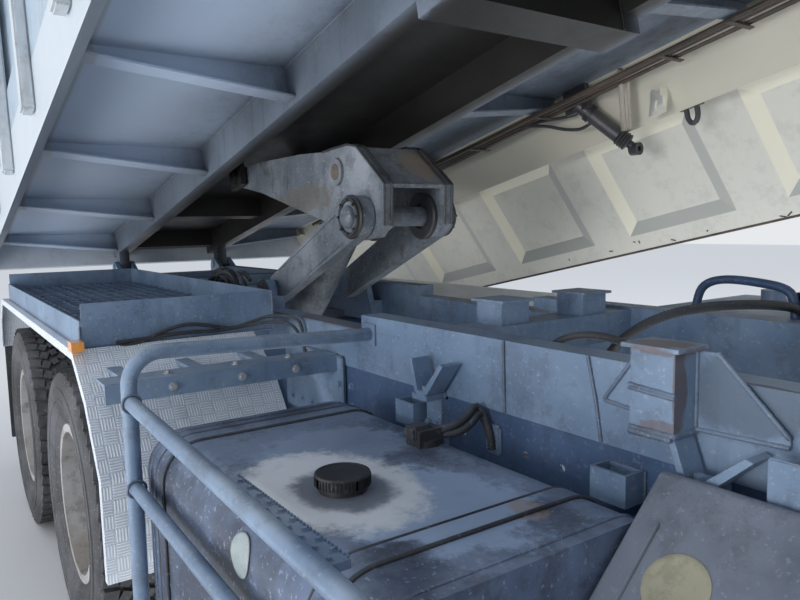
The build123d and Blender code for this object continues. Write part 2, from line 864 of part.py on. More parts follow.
# Seats, dash and the steering column inside the cab
wheel_hub = Vector(cab_front_x - 630, 550, 2060)
wheel_axis = Vector(-0.5, 0, 0.866)
wheel_plane = Plane(wheel_hub, x_dir=(0, 1, 0), z_dir=wheel_axis)
column_radius = 14.0
seat_x = cab_rear_x + 250
with BuildPart() as cab_interior:
    for side in (-1, 1):
        y0, y1 = sorted((side * 290, side * 820))
        slab((seat_x + 80, seat_x + 540), (y0 + 60, y1 - 60), (cab_floor_z + cab_wall, 1660))
        slab((seat_x, seat_x + 580), (y0, y1), (1650, 1790))
        prism(
            xz(side * 555),
            [(seat_x, 1700), (seat_x - 120, 2440), (seat_x - 20, 2450), (seat_x + 140, 1780)],
            250,
            both=True,
        )
    slab(
        (cab_front_x - 400, cab_front_x - cab_wall),
        (cab_wall - cab_half, cab_half - cab_wall),
        (1640, 1900),
    )
    with BuildSketch(wheel_plane.offset(-10)) as column:
        Circle(column_radius)
    extrude(column.sketch, amount=-440)
    with BuildSketch(wheel_plane.offset(-60)) as sleeve:
        Circle(34)
    extrude(sleeve.sketch, amount=-380)
save(cab_interior, "cab_interior")

with BuildPart() as steering_wheel:
    with BuildSketch(wheel_plane.offset(-50)) as hub:
        Circle(48)
    extrude(hub.sketch, amount=60)
    with BuildSketch(wheel_plane.offset(-50)) as bore:
        Circle(column_radius + running_gap)
    extrude(bore.sketch, amount=45, mode=Mode.SUBTRACT)
    with BuildSketch(wheel_plane.offset(-14)) as spokes:
        Rectangle(420, 34)
        Rectangle(34, 420)
        Circle(30, mode=Mode.SUBTRACT)
    extrude(spokes.sketch, amount=12)
    with BuildSketch(
        Plane(wheel_hub + Vector(0, 215, 0), x_dir=(0, 1, 0), z_dir=Vector(0.866, 0, 0.5))
    ) as ring:
        Circle(14)
    revolve(ring.sketch, axis=Axis(wheel_hub, wheel_axis))
save(steering_wheel, "steering_wheel")

# Doors hung on vertical hinges at their front edge, each with its pane
door_hinge = (door_x[1] + 10, cab_half + 32)
door_window = [
    (door_x[0] + 90, 1960.0),
    (door_x[1] - 90, 1960.0),
    (door_x[1] - 320, 2560.0),
    (door_x[0] + 90, 2560.0),
]
for side, name in ((1, "left"), (-1, "right")):
    mid = side * (cab_half - cab_wall / 2)
    with BuildPart() as door:
        prism(xz(mid), door_outline(0.0), cab_wall / 2, both=True)
        with Locations(Location((front_axle_x, mid, axle_z), (90, 0, 0))):
            Cylinder(arch_radius + door_gap, cab_wall + 2, mode=Mode.SUBTRACT)
        prism(xz(mid), door_window, cab_wall / 2 + 1, both=True, mode=Mode.SUBTRACT)
        slab(
            (door_x[0] + 50, door_x[0] + 180),
            sorted((side * cab_half, side * (cab_half + 22))),
            (1480, 1520),
        )
        for z in (1250.0, 1800.0):
            slab(
                (door_x[1] - 130, door_x[1]),
                sorted((side * cab_half, side * door_hinge[1])),
                (z - 40, z + 40),
            )
            with Locations((door_hinge[0], side * door_hinge[1], z)):
                Cylinder(22, 80)
                Cylinder(12 + running_gap, 90, mode=Mode.SUBTRACT)
    save(door, f"door_{name}")
    with BuildPart() as pane:
        prism(xz(side * (cab_half - 16)), door_window, 2.5, both=True)
    save(pane, f"door_glass_{name}")

# Door hinge pins, mirrors and the grille on the cab's outside
with BuildPart() as mirrors:
    for side in (-1, 1):
        for z in (1250.0, 1800.0):
            with Locations((door_hinge[0], side * door_hinge[1], z)):
                Cylinder(12, 150)
            for way in (-1, 1):
                slab(
                    (door_hinge[0] - 12, door_hinge[0] + 60),
                    sorted((side * cab_half, side * (door_hinge[1] + 14))),
                    (z + way * 46, z + way * 74),
                )
        slab(
            (cab_front_x - 225, cab_front_x - 170),
            sorted((side * (cab_half + mirror_reach - 120), side * (cab_half + mirror_reach))),
            (1740, 2240),
        )
        for z in (1860.0, 2110.0):
            bar_y(
                cab_front_x - 198,
                z,
                sorted((side * cab_half, side * (cab_half + mirror_reach - 110))),
                14,
            )
save(mirrors, "mirrors_and_hinges")

with BuildPart() as grille:
    slab((cab_front_x, cab_front_x + 20), (-760, 760), (1080, 1560))
    for count in range(6):
        z = 1120 + count * 70
        slab((cab_front_x + 8, cab_front_x + 21), (-720, 720), (z, z + 44), mode=Mode.SUBTRACT)
save(grille, "front_grille")


def turned(x, points, mode=Mode.ADD):
    """Revolve a closed outline of (y, radius) about the wheel axis at one x."""
    with BuildSketch(Plane.YZ.offset(x)) as face:
        with BuildLine():
            Polyline(*[(y, axle_z + radius) for y, radius in points], close=True)
        make_face()
    revolve(face.sketch, axis=Axis((x, 0, axle_z), (0, 1, 0)), mode=mode)


def tyre_ring(x, y, side):
    """One tyre, out to the tips of its tread."""
    half = [(108, rim_radius + seat_gap), (112, 308), (135, 345), (150, 410), (150, 440), (142, 500)]
    half += [(122, tyre_radius - 7), (90, tyre_radius)]
    ring = [(y + w, r) for w, r in half] + [(y - w, r) for w, r in reversed(half)]
    turned(x, [(side * w, r) for w, r in ring])


def rim_barrel(x, y, side):
    """A rim barrel with its two lips."""
    outline = [(-124, 306), (-112.5, 306), (-112.5, rim_radius), (112.5, rim_radius)]
    outline += [(112.5, 306), (124, 306), (124, rim_radius - rim_wall), (-124, rim_radius - rim_wall)]
    turned(x, [(side * (y + w), r) for w, r in outline])


# Steering knuckles on the king pins, each with its spindle
front_spindle = 45.0
for side, name in ((1, "left"), (-1, "right")):
    pin_y = side * king_pin_y
    with BuildPart() as knuckle:
        for low, high in ((405, 470), (590, 655)):
            with Locations((front_axle_x, pin_y, (low + high) / 2)):
                Cylinder(50, high - low)
            slab(
                (front_axle_x - 50, front_axle_x + 50),
                sorted((pin_y, pin_y + side * 92)),
                (low, high),
            )
        slab(
            (front_axle_x - 58, front_axle_x + 58),
            sorted((pin_y + side * 60, pin_y + side * 92)),
            (405, 655),
        )
        with Locations((front_axle_x, pin_y, axle_z)):
            Cylinder(king_pin_radius + running_gap, 300, mode=Mode.SUBTRACT)
        bar_y(front_axle_x, axle_z, sorted((pin_y + side * 80, side * 1120)), front_spindle)
    save(knuckle, f"knuckle_{name}")
    with BuildPart() as tyre:
        tyre_ring(front_axle_x, front_wheel_y, side)
    save(tyre, f"tyre_front_{name}")
    with BuildPart() as wheel:
        rim_barrel(front_axle_x, front_wheel_y, side)
        bore = front_spindle + running_gap
        turned(
            front_axle_x,
            [
                (side * y, r)
                for y, r in (
                    (945, bore), (945, 205), (1075, 205), (1075, 120), (1120, 120), (1122, 170),
                    (1100, 276), (1112, 276), (1134, 172), (1134, 110), (1160, 80), (1160, 0),
                    (1123, 0), (1123, bore),
                )
            ],
        )
    save(wheel, f"wheel_front_{name}")

# Twin rear wheels: two tyres and one hub with both rims at each of the four ends
twin_inner_y = twin_outer_y - twin_spacing
disc_y = (twin_outer_y + twin_inner_y) / 2
for x, order in zip(rear_axle_x, ("middle", "rear")):
    for side, name in ((1, "left"), (-1, "right")):
        with BuildPart() as tyre:
            tyre_ring(x, twin_outer_y, side)
            tyre_ring(x, twin_inner_y, side)
        save(tyre, f"tyres_{order}_{name}")
        with BuildPart() as wheel:
            rim_barrel(x, twin_outer_y, side)
            rim_barrel(x, twin_inner_y, side)
            bore = spindle_radius + running_gap
            turned(
                x,
                [
                    (side * y, r)
                    for y, r in (
                        (600, bore), (600, 205), (disc_y - 40, 205), (disc_y - 12, 160),
                        (twin_inner_y + 108, 276), (twin_inner_y + 120, 276), (disc_y - 2, 172),
                        (disc_y + 2, 172), (twin_outer_y - 120, 276), (twin_outer_y - 108, 276),
                        (disc_y + 12, 160), (disc_y + 12, 118), (1100, 105), (1125, 80),
                        (1125, 0), (1013, 0), (1013, bore),
                    )
                ],
            )
        save(wheel, f"wheels_{order}_{name}")

# Tipping body floor: two long beams, outriggers, side rails, posts and hinge eyes
rail_section = [(1250, 20), (1250, 280), (1100, 280), (1150, 170)]
outriggers = [outrigger_first_s + count * outrigger_pitch for count in range(6)]
beam_front_s = 5640.0
beam_in_y = beam_out_y - beam_width
post_top_h = 1180.0
tail_axis = (-185.0, 1130.0)
tail_pin = 20.0
cross_s = (3840.0, 3990.0)
cross_bottom_h = 58.0
gate_hinges = (250.0, 1350.0, 2450.0, 4450.0, 5380.0)
gate_pin = 11.0
with BuildPart() as body_floor:
    for side in (-1, 1):
        slab(
            body_xz(body_rear_s, 0)[:1] + body_xz(beam_front_s, 0)[:1],
            sorted((side * beam_in_y, side * beam_out_y)),
            (hinge_z + beam_bottom_h, hinge_z + floor_h),
        )
        prism(
            Plane.YZ.offset(hinge_x + body_rear_s),
            [(side * y, hinge_z + h) for y, h in rail_section],
            beam_front_s - body_rear_s,
        )
        for s in outriggers:
            prism(
                Plane.YZ.offset(hinge_x + s - 5),
                [
                    (side * y, hinge_z + h)
                    for y, h in (
                        (beam_out_y - 4, 130),
                        (1132, 208),
                        (1132, floor_h),
                        (beam_out_y - 4, floor_h),
                    )
                ],
                10,
            )
            prism(
                Plane.YZ.offset(hinge_x + s - 5),
                [
                    (side * y, hinge_z + h)
                    for y, h in ((beam_out_y - 4, 130), (1132, 208), (1132, 216), (beam_out_y - 4, 138))
                ],
                70,
            )
        slab(
            (hinge_x + body_rear_s, hinge_x - 50),
            sorted((side * 1190, side * 1250)),
            (hinge_z + 275, hinge_z + post_top_h),
        )
        slab(
            (hinge_x + tail_axis[0] - 26, hinge_x + body_rear_s),
            sorted((side * 1212, side * 1250)),
            (hinge_z + tail_axis[1] - 32, hinge_z + post_top_h),
        )
        bar_y(*body_xz(*tail_axis), sorted((side * 1158, side * 1215)), tail_pin)
        slab(
            (hinge_x - 50, hinge_x + 50),
            sorted((side * 336, side * 404)),
            (hinge_z, hinge_z + beam_bottom_h + 5),
        )
        bar_y(hinge_x, hinge_z, sorted((side * 336, side * 404)), 50)
        bar_y(
            hinge_x, hinge_z, sorted((side * 330, side * 410)), hinge_pin + running_gap, mode=Mode.SUBTRACT
        )
        slab(
            (hinge_x + body_eye[0] - 75, hinge_x + body_eye[0] + 75),
            sorted((side * 178, side * 206)),
            (hinge_z + body_eye[1] - 55, hinge_z + floor_h + 4),
        )
        bar_y(*body_xz(*body_eye), sorted((side * 206, side * 222)), hoist_pin)
        slab(
            (hinge_x + 4540, hinge_x + 4680),
            sorted((side * (beam_out_y - 4), side * 512)),
            (hinge_z + 62, hinge_z + floor_h),
        )
    slab(
        (hinge_x + body_rear_s, hinge_x + beam_front_s),
        (-1200, 1200),
        (hinge_z + floor_h, hinge_z + floor_h + floor_plate),
    )
    for s in (-40.0, 960.0, 4990.0):
        slab((hinge_x + s - 40, hinge_x + s + 40), (-330, 330), (hinge_z + 150, hinge_z + floor_h))
    slab(
        (hinge_x + cross_s[0], hinge_x + cross_s[1]),
        (-beam_out_y, beam_out_y),
        (hinge_z + cross_bottom_h, hinge_z + floor_h),
    )
    for s in gate_hinges:
        for way in (-1, 1):
            slab(
                (hinge_x + s + way * 34, hinge_x + s + way * 46),
                (1245, gate_axis_y + 16),
                (hinge_z + gate_axis_h - 18, hinge_z + gate_axis_h + 18),
            )
        with Locations(Location((hinge_x + s, gate_axis_y, hinge_z + gate_axis_h), (0, 90, 0))):
            Cylinder(gate_pin, 92)
save_tilted(body_floor, "body_floor")

# Headboard across the front of the body
with BuildPart() as headboard:
    slab(
        (hinge_x + beam_front_s, hinge_x + body_front_s),
        (-1250, 1250),
        (hinge_z + 120, hinge_z + headboard_top_h),
    )
save_tilted(headboard, "headboard")


def pressed_side(y, inner, s, h):
    """A pressed side between y and inner, with fields of sloping flanks sunk into the y face."""
    slab((hinge_x + s[0], hinge_x + s[1]), sorted((y, inner)), (hinge_z + h[0], hinge_z + h[1]))
    middle_s = field_first_s + ((field_count - 1) * field_pitch + field_width) / 2
    middle_h = (field_h[0] + field_h[1]) / 2
    face = Plane(
        (hinge_x + middle_s, y, hinge_z + middle_h),
        x_dir=(1, 0, 0),
        z_dir=(0, inner - y, 0),
    )
    with BuildSketch(face) as fields:
        with GridLocations(field_pitch, 1, field_count, 1):
            Rectangle(field_width, field_h[1] - field_h[0])
    extrude(fields.sketch, amount=field_depth, taper=field_taper, mode=Mode.SUBTRACT)


# Fixed right side with pressed panels on its outside
with BuildPart() as right_wall:
    pressed_side(-1250, -1190, (-50, beam_front_s), (280, wall_top_h))
save_tilted(right_wall, "right_wall")

# Tailgate hung from its top corners
with BuildPart() as tailgate:
    slab(
        (hinge_x - 215, hinge_x - 157),
        (-1245, 1245),
        (hinge_z + 60, hinge_z + 1082),
    )
    for side in (-1, 1):
        slab(
            (hinge_x - 215, hinge_x - 157),
            sorted((side * 1162, side * 1205)),
            (hinge_z + 1070, hinge_z + tail_axis[1]),
        )
        bar_y(*body_xz(*tail_axis), sorted((side * 1162, side * 1205)), 34)
        bar_y(
            *body_xz(*tail_axis),
            sorted((side * 1155, side * 1208)),
            tail_pin + running_gap,
            mode=Mode.SUBTRACT,
        )
save_tilted(tailgate, "tailgate")

# Left gate, drawn closed, then swung out and down about its lower hinges
gate_s = (-40.0, 5630.0)
gate_h = (292.0, gate_top_h)
ear_s = (3550.0, 3660.0)
gate_axis = Axis((0, gate_axis_y, hinge_z + gate_axis_h), (1, 0, 0))
with BuildPart() as left_gate:
    pressed_side(1250, gate_inner_y, gate_s, gate_h)
    slab(
        (hinge_x + ear_s[0] - 20, hinge_x + ear_s[1] + 20),
        (1180, 1260),
        (hinge_z + 280, hinge_z + 350),
        mode=Mode.SUBTRACT,
    )
    for s in gate_hinges:
        slab(
            (hinge_x + s - 27, hinge_x + s + 27),
            (gate_axis_y - 9, gate_axis_y + 9),
            (hinge_z + gate_axis_h, hinge_z + gate_h[0] + 60),
        )
        slab(
            (hinge_x + s - 27, hinge_x + s + 27),
            (1245, gate_axis_y + 9),
            (hinge_z + gate_h[0] + 5, hinge_z + gate_h[0] + 60),
        )
        for radius, length, mode in ((17.0, 54, Mode.ADD), (gate_pin + running_gap, 60, Mode.SUBTRACT)):
            with Locations(Location((hinge_x + s, gate_axis_y, hinge_z + gate_axis_h), (0, 90, 0))):
                Cylinder(radius, length, mode=mode)
left_gate.part = left_gate.part.rotate(gate_axis, -gate_open)
save_tilted(left_gate, "left_gate")

# Short gate cylinder and its slotted ear on the left side rail
with BuildPart() as gate_cylinder:
    slab(
        (hinge_x + ear_s[0], hinge_x + ear_s[1]),
        (1250, 1274),
        (hinge_z + 20, hinge_z + 325),
    )
    slab((hinge_x + 3080, hinge_x + 3220), (1050, 1080), (hinge_z + 150, hinge_z + floor_h))
    with BuildSketch(
        Plane((hinge_x + 3150, 1065, hinge_z + 190), x_dir=(1, 0, 0), z_dir=(0.35, 0.4, -0.6))
    ) as barrel:
        Circle(36)
    extrude(barrel.sketch, amount=250)
save_tilted(gate_cylinder, "gate_cylinder")


def link(start, end, r0, r1, mid_y, half_y, mode=Mode.ADD):
    """A flat link with round ends between two (x, z) points."""
    angle = atan2(end[1] - start[1], end[0] - start[0])
    nx, nz = -sin(angle), cos(angle)
    prism(
        xz(mid_y),
        [
            (start[0] + nx * r0, start[1] + nz * r0),
            (end[0] + nx * r1, end[1] + nz * r1),
            (end[0] - nx * r1, end[1] - nz * r1),
            (start[0] - nx * r0, start[1] - nz * r0),
        ],
        half_y,
        both=True,
        mode=mode,
    )
    for point, radius in ((start, r0), (end, r1)):
        bar_y(*point, (mid_y - half_y, mid_y + half_y), radius, mode=mode)


# Lower hoist arms with the knee pin welded across them
knee_radius = 92.0
foot_radius = 68.0
with BuildPart() as lower_arms:
    for side in (-1, 1):
        y_mid = side * (lower_arm_y[0] + lower_arm_y[1]) / 2
        y_half = (lower_arm_y[1] - lower_arm_y[0]) / 2
        link(arm_foot, knee, foot_radius, knee_radius - 8, y_mid, y_half)
        bar_y(*knee, sorted((side * lower_arm_y[0], side * (lower_arm_y[1] + 14))), 62)
        bar_y(
            *arm_foot,
            sorted((side * (lower_arm_y[0] - 2), side * (lower_arm_y[1] + 2))),
            hoist_pin + running_gap,
            mode=Mode.SUBTRACT,
        )
    bar_y(*knee, (-lower_arm_y[0] - 4, lower_arm_y[0] + 4), hoist_pin)
save(lower_arms, "lower_arms")

# Upper hoist plates, joined by a bent cross plate over the front
upper_line = [
    (-1760.0, 1790.0),
    (-1511.0, 1749.0),
    (-640.0, 1545.0),
    (-560.0, 1518.0),
    (-450.0, 1530.0),
    (-398.0, 1574.0),
    (-392.0, 1731.0),
    (-586.0, 1886.0),
    (-660.0, 1900.0),
    (-860.0, 1890.0),
    (-1060.0, 1900.0),
    (-1500.0, 1903.0),
    (-1745.0, 1896.0),
]
eye = tilted_xz(*body_eye)
with BuildPart() as upper_arms:
    for side in (-1, 1):
        y_mid = side * (upper_plate_y[0] + upper_plate_y[1]) / 2
        y_half = (upper_plate_y[1] - upper_plate_y[0]) / 2
        prism(xz(y_mid), upper_line, y_half, both=True)
        bar_y(*eye, sorted((side * upper_plate_y[0], side * upper_plate_y[1])), 55)
        bar_y(*head_pin, sorted((side * upper_plate_y[0], side * (upper_plate_y[1] + 12))), 56)
        for point in (knee, eye):
            bar_y(
                *point,
                sorted((side * (upper_plate_y[0] - 2), side * (upper_plate_y[1] + 2))),
                hoist_pin + running_gap,
                mode=Mode.SUBTRACT,
            )
    prism(
        xz(0),
        [(-586, 1886), (-392, 1731), (-403, 1717), (-597, 1872)],
        upper_plate_y[0] + 2,
        both=True,
    )
save(upper_arms, "upper_arms")

# Hoist cylinder, hung on the frame's cross tube, and its rod
lift_angle = atan2(head_pin[1] - cylinder_foot[1], head_pin[0] - cylinder_foot[0])
lift_length = hypot(head_pin[1] - cylinder_foot[1], head_pin[0] - cylinder_foot[0])
lift_axis = Vector(cos(lift_angle), 0, sin(lift_angle))
lift_foot = Vector(cylinder_foot[0], 0, cylinder_foot[1])
barrel_length = 745.0
barrel_radius = 84.0
rod_radius = 50.0
rod_length = 745.0


def along(distance):
    """The plane across the hoist cylinder at one distance from its foot."""
    return Plane(lift_foot + lift_axis * distance, x_dir=(0, 1, 0), z_dir=lift_axis)


with BuildPart() as hoist_cylinder:
    bar_y(*cylinder_foot, (-60, 60), 58)
    with BuildSketch(along(20)) as tube:
        Circle(barrel_radius)
    extrude(tube.sketch, amount=barrel_length - 20)
    with BuildSketch(along(100)) as bore:
        Circle(rod_radius + running_gap)
    extrude(bore.sketch, amount=barrel_length, mode=Mode.SUBTRACT)
    bar_y(*cylinder_foot, (-90, 90), 30 + running_gap, mode=Mode.SUBTRACT)
save(hoist_cylinder, "hoist_cylinder")

with BuildPart() as hoist_rod:
    with BuildSketch(along(lift_length - rod_length)) as rod:
        Circle(rod_radius)
    extrude(rod.sketch, amount=rod_length - 30)
    bar_y(*head_pin, (-62, 62), 44)
    bar_y(*head_pin, (-88, 88), 34)
save(hoist_rod, "hoist_rod")
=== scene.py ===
import json
import math
import random

import bmesh
import bpy
from mathutils import Matrix, Vector


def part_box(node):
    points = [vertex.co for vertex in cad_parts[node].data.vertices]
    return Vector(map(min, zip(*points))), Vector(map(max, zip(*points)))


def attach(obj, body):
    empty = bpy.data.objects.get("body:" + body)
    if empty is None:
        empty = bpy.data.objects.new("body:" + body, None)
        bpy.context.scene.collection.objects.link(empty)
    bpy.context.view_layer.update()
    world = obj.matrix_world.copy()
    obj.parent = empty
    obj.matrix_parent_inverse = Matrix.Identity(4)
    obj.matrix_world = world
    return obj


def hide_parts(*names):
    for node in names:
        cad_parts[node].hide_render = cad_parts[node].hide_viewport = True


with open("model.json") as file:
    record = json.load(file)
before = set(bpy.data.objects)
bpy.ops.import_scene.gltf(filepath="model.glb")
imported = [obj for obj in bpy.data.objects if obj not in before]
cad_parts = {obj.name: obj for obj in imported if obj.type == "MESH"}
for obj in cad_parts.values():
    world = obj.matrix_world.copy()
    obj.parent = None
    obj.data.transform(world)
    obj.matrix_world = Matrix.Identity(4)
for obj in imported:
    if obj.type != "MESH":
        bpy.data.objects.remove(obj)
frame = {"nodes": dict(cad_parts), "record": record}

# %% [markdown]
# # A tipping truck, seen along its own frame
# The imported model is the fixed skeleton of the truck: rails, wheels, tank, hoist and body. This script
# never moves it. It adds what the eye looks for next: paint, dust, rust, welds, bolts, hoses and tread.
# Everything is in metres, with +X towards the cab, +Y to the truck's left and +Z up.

scene = bpy.context.scene
nodes = frame["nodes"]
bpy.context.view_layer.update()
middle_y = (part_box("frame_rails")[0][1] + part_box("frame_rails")[1][1]) / 2
tilt = math.radians(12)
hinge = Vector((-3.58, middle_y, 1.3))


def at(x, y, z):
    """A point in metres, from millimetres measured off the truck's own centre plane."""
    return Vector((x / 1000, y / 1000 + middle_y, z / 1000))


def on_body(s, y, h):
    """A point on the raised body: s ahead of its hinge, h above it, in millimetres along the body."""
    forward = Vector((math.cos(tilt), 0, math.sin(tilt)))
    upward = Vector((-math.sin(tilt), 0, math.cos(tilt)))
    return hinge + (forward * s + upward * h + Vector((0, y, 0))) / 1000


print("centre plane at y", round(middle_y, 4))

# %% [markdown]
# ## Camera
# The photograph looks back and down from beside the right rail, behind the cab. The turn of the view was
# solved from the rails, which run to one vanishing point. Three angles make the three axes of the camera.

# %% Camera at the photograph's place
heading, droop, roll = (math.radians(v) for v in (34.5, 6.1, 1.1))
ahead = Vector((
    -math.cos(heading) * math.cos(droop),
    math.sin(heading) * math.cos(droop),
    -math.sin(droop),
))
level = Vector((math.sin(heading), math.cos(heading), 0))
down = ahead.cross(level)
right = math.cos(roll) * level + math.sin(roll) * down
low = -math.sin(roll) * level + math.cos(roll) * down
sensor_mm, focal_pixels, picture_pixels = 36, 700, 800
lens = bpy.data.cameras.new("camera")
lens.sensor_width = sensor_mm
lens.lens = sensor_mm * focal_pixels / picture_pixels
lens.clip_start = 0.05
camera = bpy.data.objects.new("camera", lens)
turn = Matrix((right, -low, -ahead)).transposed()
stand = at(1820, -1620, 1575)
camera.matrix_world = Matrix.Translation(stand) @ turn.to_4x4()
scene.collection.objects.link(camera)
scene.camera = camera
print("camera lens", round(lens.lens, 2), "mm at", tuple(round(v, 2) for v in stand))

# %% [markdown]
# ## Floor, background and light
# A pale floor catches the shadow. The world gives soft light from all round, and two large lamps give it a
# direction. What the camera sees behind the truck is a plain pale grey, kept apart from the light.

# %% A helper that adds one shader node
def put(tree, kind, inputs=None, **settings):
    """Adds a shader node, with its settings, and links or sets the inputs that are given."""
    made = tree.nodes.new(kind if kind.startswith(("Geometry", "Function")) else "ShaderNode" + kind)
    for name, value in settings.items():
        setattr(made, name, value)
    for key, value in (inputs or {}).items():
        if isinstance(value, bpy.types.NodeSocket):
            tree.links.new(value, made.inputs[key])
        else:
            made.inputs[key].default_value = value
    return made

# %% World: soft light, and a plain pale backdrop for the camera
world = bpy.data.worlds.new("soft_sky")
scene.world = world
world.use_nodes = True
sky = world.node_tree
sky.nodes.clear()
rays = put(sky, "LightPath")
plain = put(sky, "Math", {0: rays.outputs["Is Camera Ray"], 1: rays.outputs["Is Transmission Ray"]},
            operation="MAXIMUM")
shine = put(sky, "Background", {"Color": (0.9, 0.94, 1.0, 1), "Strength": 0.85})
backdrop = put(sky, "Background", {"Color": (0.8, 0.82, 0.84, 1), "Strength": 1.0})
chosen = put(sky, "MixShader", {0: plain.outputs[0], 1: shine.outputs[0], 2: backdrop.outputs[0]})
put(sky, "OutputWorld", {"Surface": chosen.outputs[0]})
scene.view_settings.view_transform = "Standard"

# %% Four large soft lamps: over the left side, by the right side, and two that stand for a sunlit floor
def soft_lamp(name, place, aim, size, power):
    """A square area lamp turned towards a point."""
    light = bpy.data.lights.new(name, "AREA")
    light.size = size
    light.energy = power
    lamp = bpy.data.objects.new(name, light)
    lamp.location = place
    lamp.rotation_euler = (Vector(aim) - Vector(place)).to_track_quat("-Z", "Y").to_euler()
    lamp.visible_camera = False
    scene.collection.objects.link(lamp)
    return lamp


soft_lamp("key_lamp", (4.5, 8.5, 8.0), (0, 1.5, 1), 7.0, 430)
soft_lamp("near_lamp", (2.6, -13.0, 1.5), (-0.3, 1.0, 1.8), 4.0, 680)
soft_lamp("yard_lamp", (-1.0, -3.8, 0.05), (-1.0, -3.5, 3.0), 4.5, 270)
soft_lamp("floor_glow", (0.1, 0.3, 0.04), (0.1, 0.4, 3.0), 3.2, 44)

# %% Pale floor
floor_mesh = bpy.data.meshes.new("floor")
floor_mesh.from_pydata([(-40, -40, 0), (40, -40, 0), (40, 40, 0), (-40, 40, 0)], [], [(0, 1, 2, 3)])
floor = bpy.data.objects.new("floor", floor_mesh)
scene.collection.objects.link(floor)
ground = bpy.data.materials.new("pale_floor")
ground.use_nodes = True
ground_look = ground.node_tree.nodes["Principled BSDF"]
ground_look.inputs["Base Color"].default_value = (0.77, 0.78, 0.795, 1)
ground_look.inputs["Roughness"].default_value = 0.85
floor_mesh.materials.append(ground)
print("lamps and floor ready")

# %% [markdown]
# ## Shader groups
# Old paint on a truck changes in the same few ways everywhere: it fades in clouds, dust lies on what faces
# up, water leaves streaks, and edges and knocks show the metal. One node group holds these effects, and
# each paint uses it with its own colours and amounts.

# %% Helpers: a shader group with named inputs and outputs, and its usual sums
def open_group(name, inputs, outputs, tree_kind="ShaderNodeTree"):
    """A new node group: inputs are (name, kind, default), outputs are (name, kind)."""
    group = bpy.data.node_groups.new(name, tree_kind)
    for label, kind, *default in inputs:
        socket = group.interface.new_socket(label, in_out="INPUT", socket_type="NodeSocket" + kind)
        if default:
            socket.default_value = default[0]
    for label, kind in outputs:
        group.interface.new_socket(label, in_out="OUTPUT", socket_type="NodeSocket" + kind)
    return group, group.nodes.new("NodeGroupInput").outputs, group.nodes.new("NodeGroupOutput").inputs


def step(tree, value, low_edge, high_edge):
    """A smooth step from 0 to 1 between two edges."""
    return put(tree, "MapRange", {0: value, 1: low_edge, 2: high_edge, 3: 0.0, 4: 1.0},
               interpolation_type="SMOOTHSTEP").outputs[0]


def mix(tree, share, first, second):
    """A colour between two others."""
    return put(tree, "Mix", {0: share, 6: first, 7: second}, data_type="RGBA").outputs[2]


def calc(tree, how, first, second=0.0):
    """One sum or product of two numbers."""
    return put(tree, "Math", {0: first, 1: second}, operation=how).outputs[0]


def times(tree, first, second):
    """The product of two numbers."""
    return calc(tree, "MULTIPLY", first, second)


def noise(tree, place, scale, detail, roughness=0.5):
    """Noise between 0 and 1 at a place."""
    return put(tree, "TexNoise", {
        "Vector": place, "Scale": scale, "Detail": detail, "Roughness": roughness}).outputs[0]


def object_place(tree):
    """The point of the piece that is being coloured, in metres."""
    return put(tree, "TexCoord").outputs["Object"]


def object_normal(tree):
    """The way that the surface faces."""
    return put(tree, "TexCoord").outputs["Normal"]


def parts_of(tree, vector):
    """The three numbers of a vector."""
    return put(tree, "SeparateXYZ", {0: vector}).outputs


def toward(tree, vector, way):
    """How far a vector points a given way."""
    return put(tree, "VectorMath", {0: vector, 1: way}, operation="DOT_PRODUCT").outputs[1]

# %% Weathered paint: clouds, streaks, dust, chips and worn edges
paint_group, given, out = open_group(
    "weathered_paint",
    [("Paint", "Color", (0.1, 0.15, 0.2, 1)), ("Faded", "Color", (0.2, 0.25, 0.3, 1)),
     ("Dust", "Color", (0.3, 0.32, 0.35, 1)), ("Rust", "Color", (0.16, 0.06, 0.025, 1)),
     ("Cloud", "Float", 0.6), ("Streaks", "Float", 0.3), ("Dusty", "Float", 0.4),
     ("Chips", "Float", 0.3), ("Edges", "Float", 0.4)],
    [("Color", "Color"), ("Roughness", "Float"), ("Height", "Float"), ("Bare", "Float")],
)
t = paint_group
place = object_place(t)
clouds = noise(t, place, 3.1, 7.0, 0.62)
fine = noise(t, place, 34.0, 5.0, 0.7)
stretched = put(t, "Mapping", {"Vector": place, "Scale": (9.0, 9.0, 0.9)}).outputs[0]
runs = noise(t, stretched, 3.0, 4.0)
up = parts_of(t, object_normal(t))[2]
lying = step(t, up, 0.3, 0.95)
cloud_share = times(t, step(t, clouds, 0.38, 0.68), given["Cloud"])
color = mix(t, cloud_share, given["Paint"], given["Faded"])
dark = mix(t, 0.62, color, (0.012, 0.013, 0.016, 1))
run_share = times(t, step(t, runs, 0.52, 0.78), given["Streaks"])
color = mix(t, run_share, color, dark)
dust_share = times(t, times(t, lying, given["Dusty"]), step(t, clouds, 0.3, 0.62))
color = mix(t, dust_share, color, given["Dust"])
patches = noise(t, place, 7.5, 10.0, 0.78)
patch_share = times(t, step(t, patches, 0.5, 0.6), times(t, given["Cloud"], 0.75))
color = mix(t, patch_share, color, mix(t, 0.55, color, (0.04, 0.034, 0.032, 1)))
specks = noise(t, place, 85.0, 3.0, 0.6)
speck_share = times(t, step(t, specks, 0.6, 0.68), times(t, given["Cloud"], 0.7))
color = mix(t, speck_share, color, given["Dust"])
chip_edge = calc(t, "SUBTRACT", 0.86, times(t, given["Chips"], 0.22))
chip_noise = noise(t, place, 15.0, 9.0, 0.74)
spots = step(t, chip_noise, chip_edge, calc(t, "ADD", chip_edge, 0.02))
rounded = put(t, "Bevel", {"Radius": 0.005}, samples=4).outputs[0]
square = toward(t, rounded, put(t, "NewGeometry").outputs["Normal"])
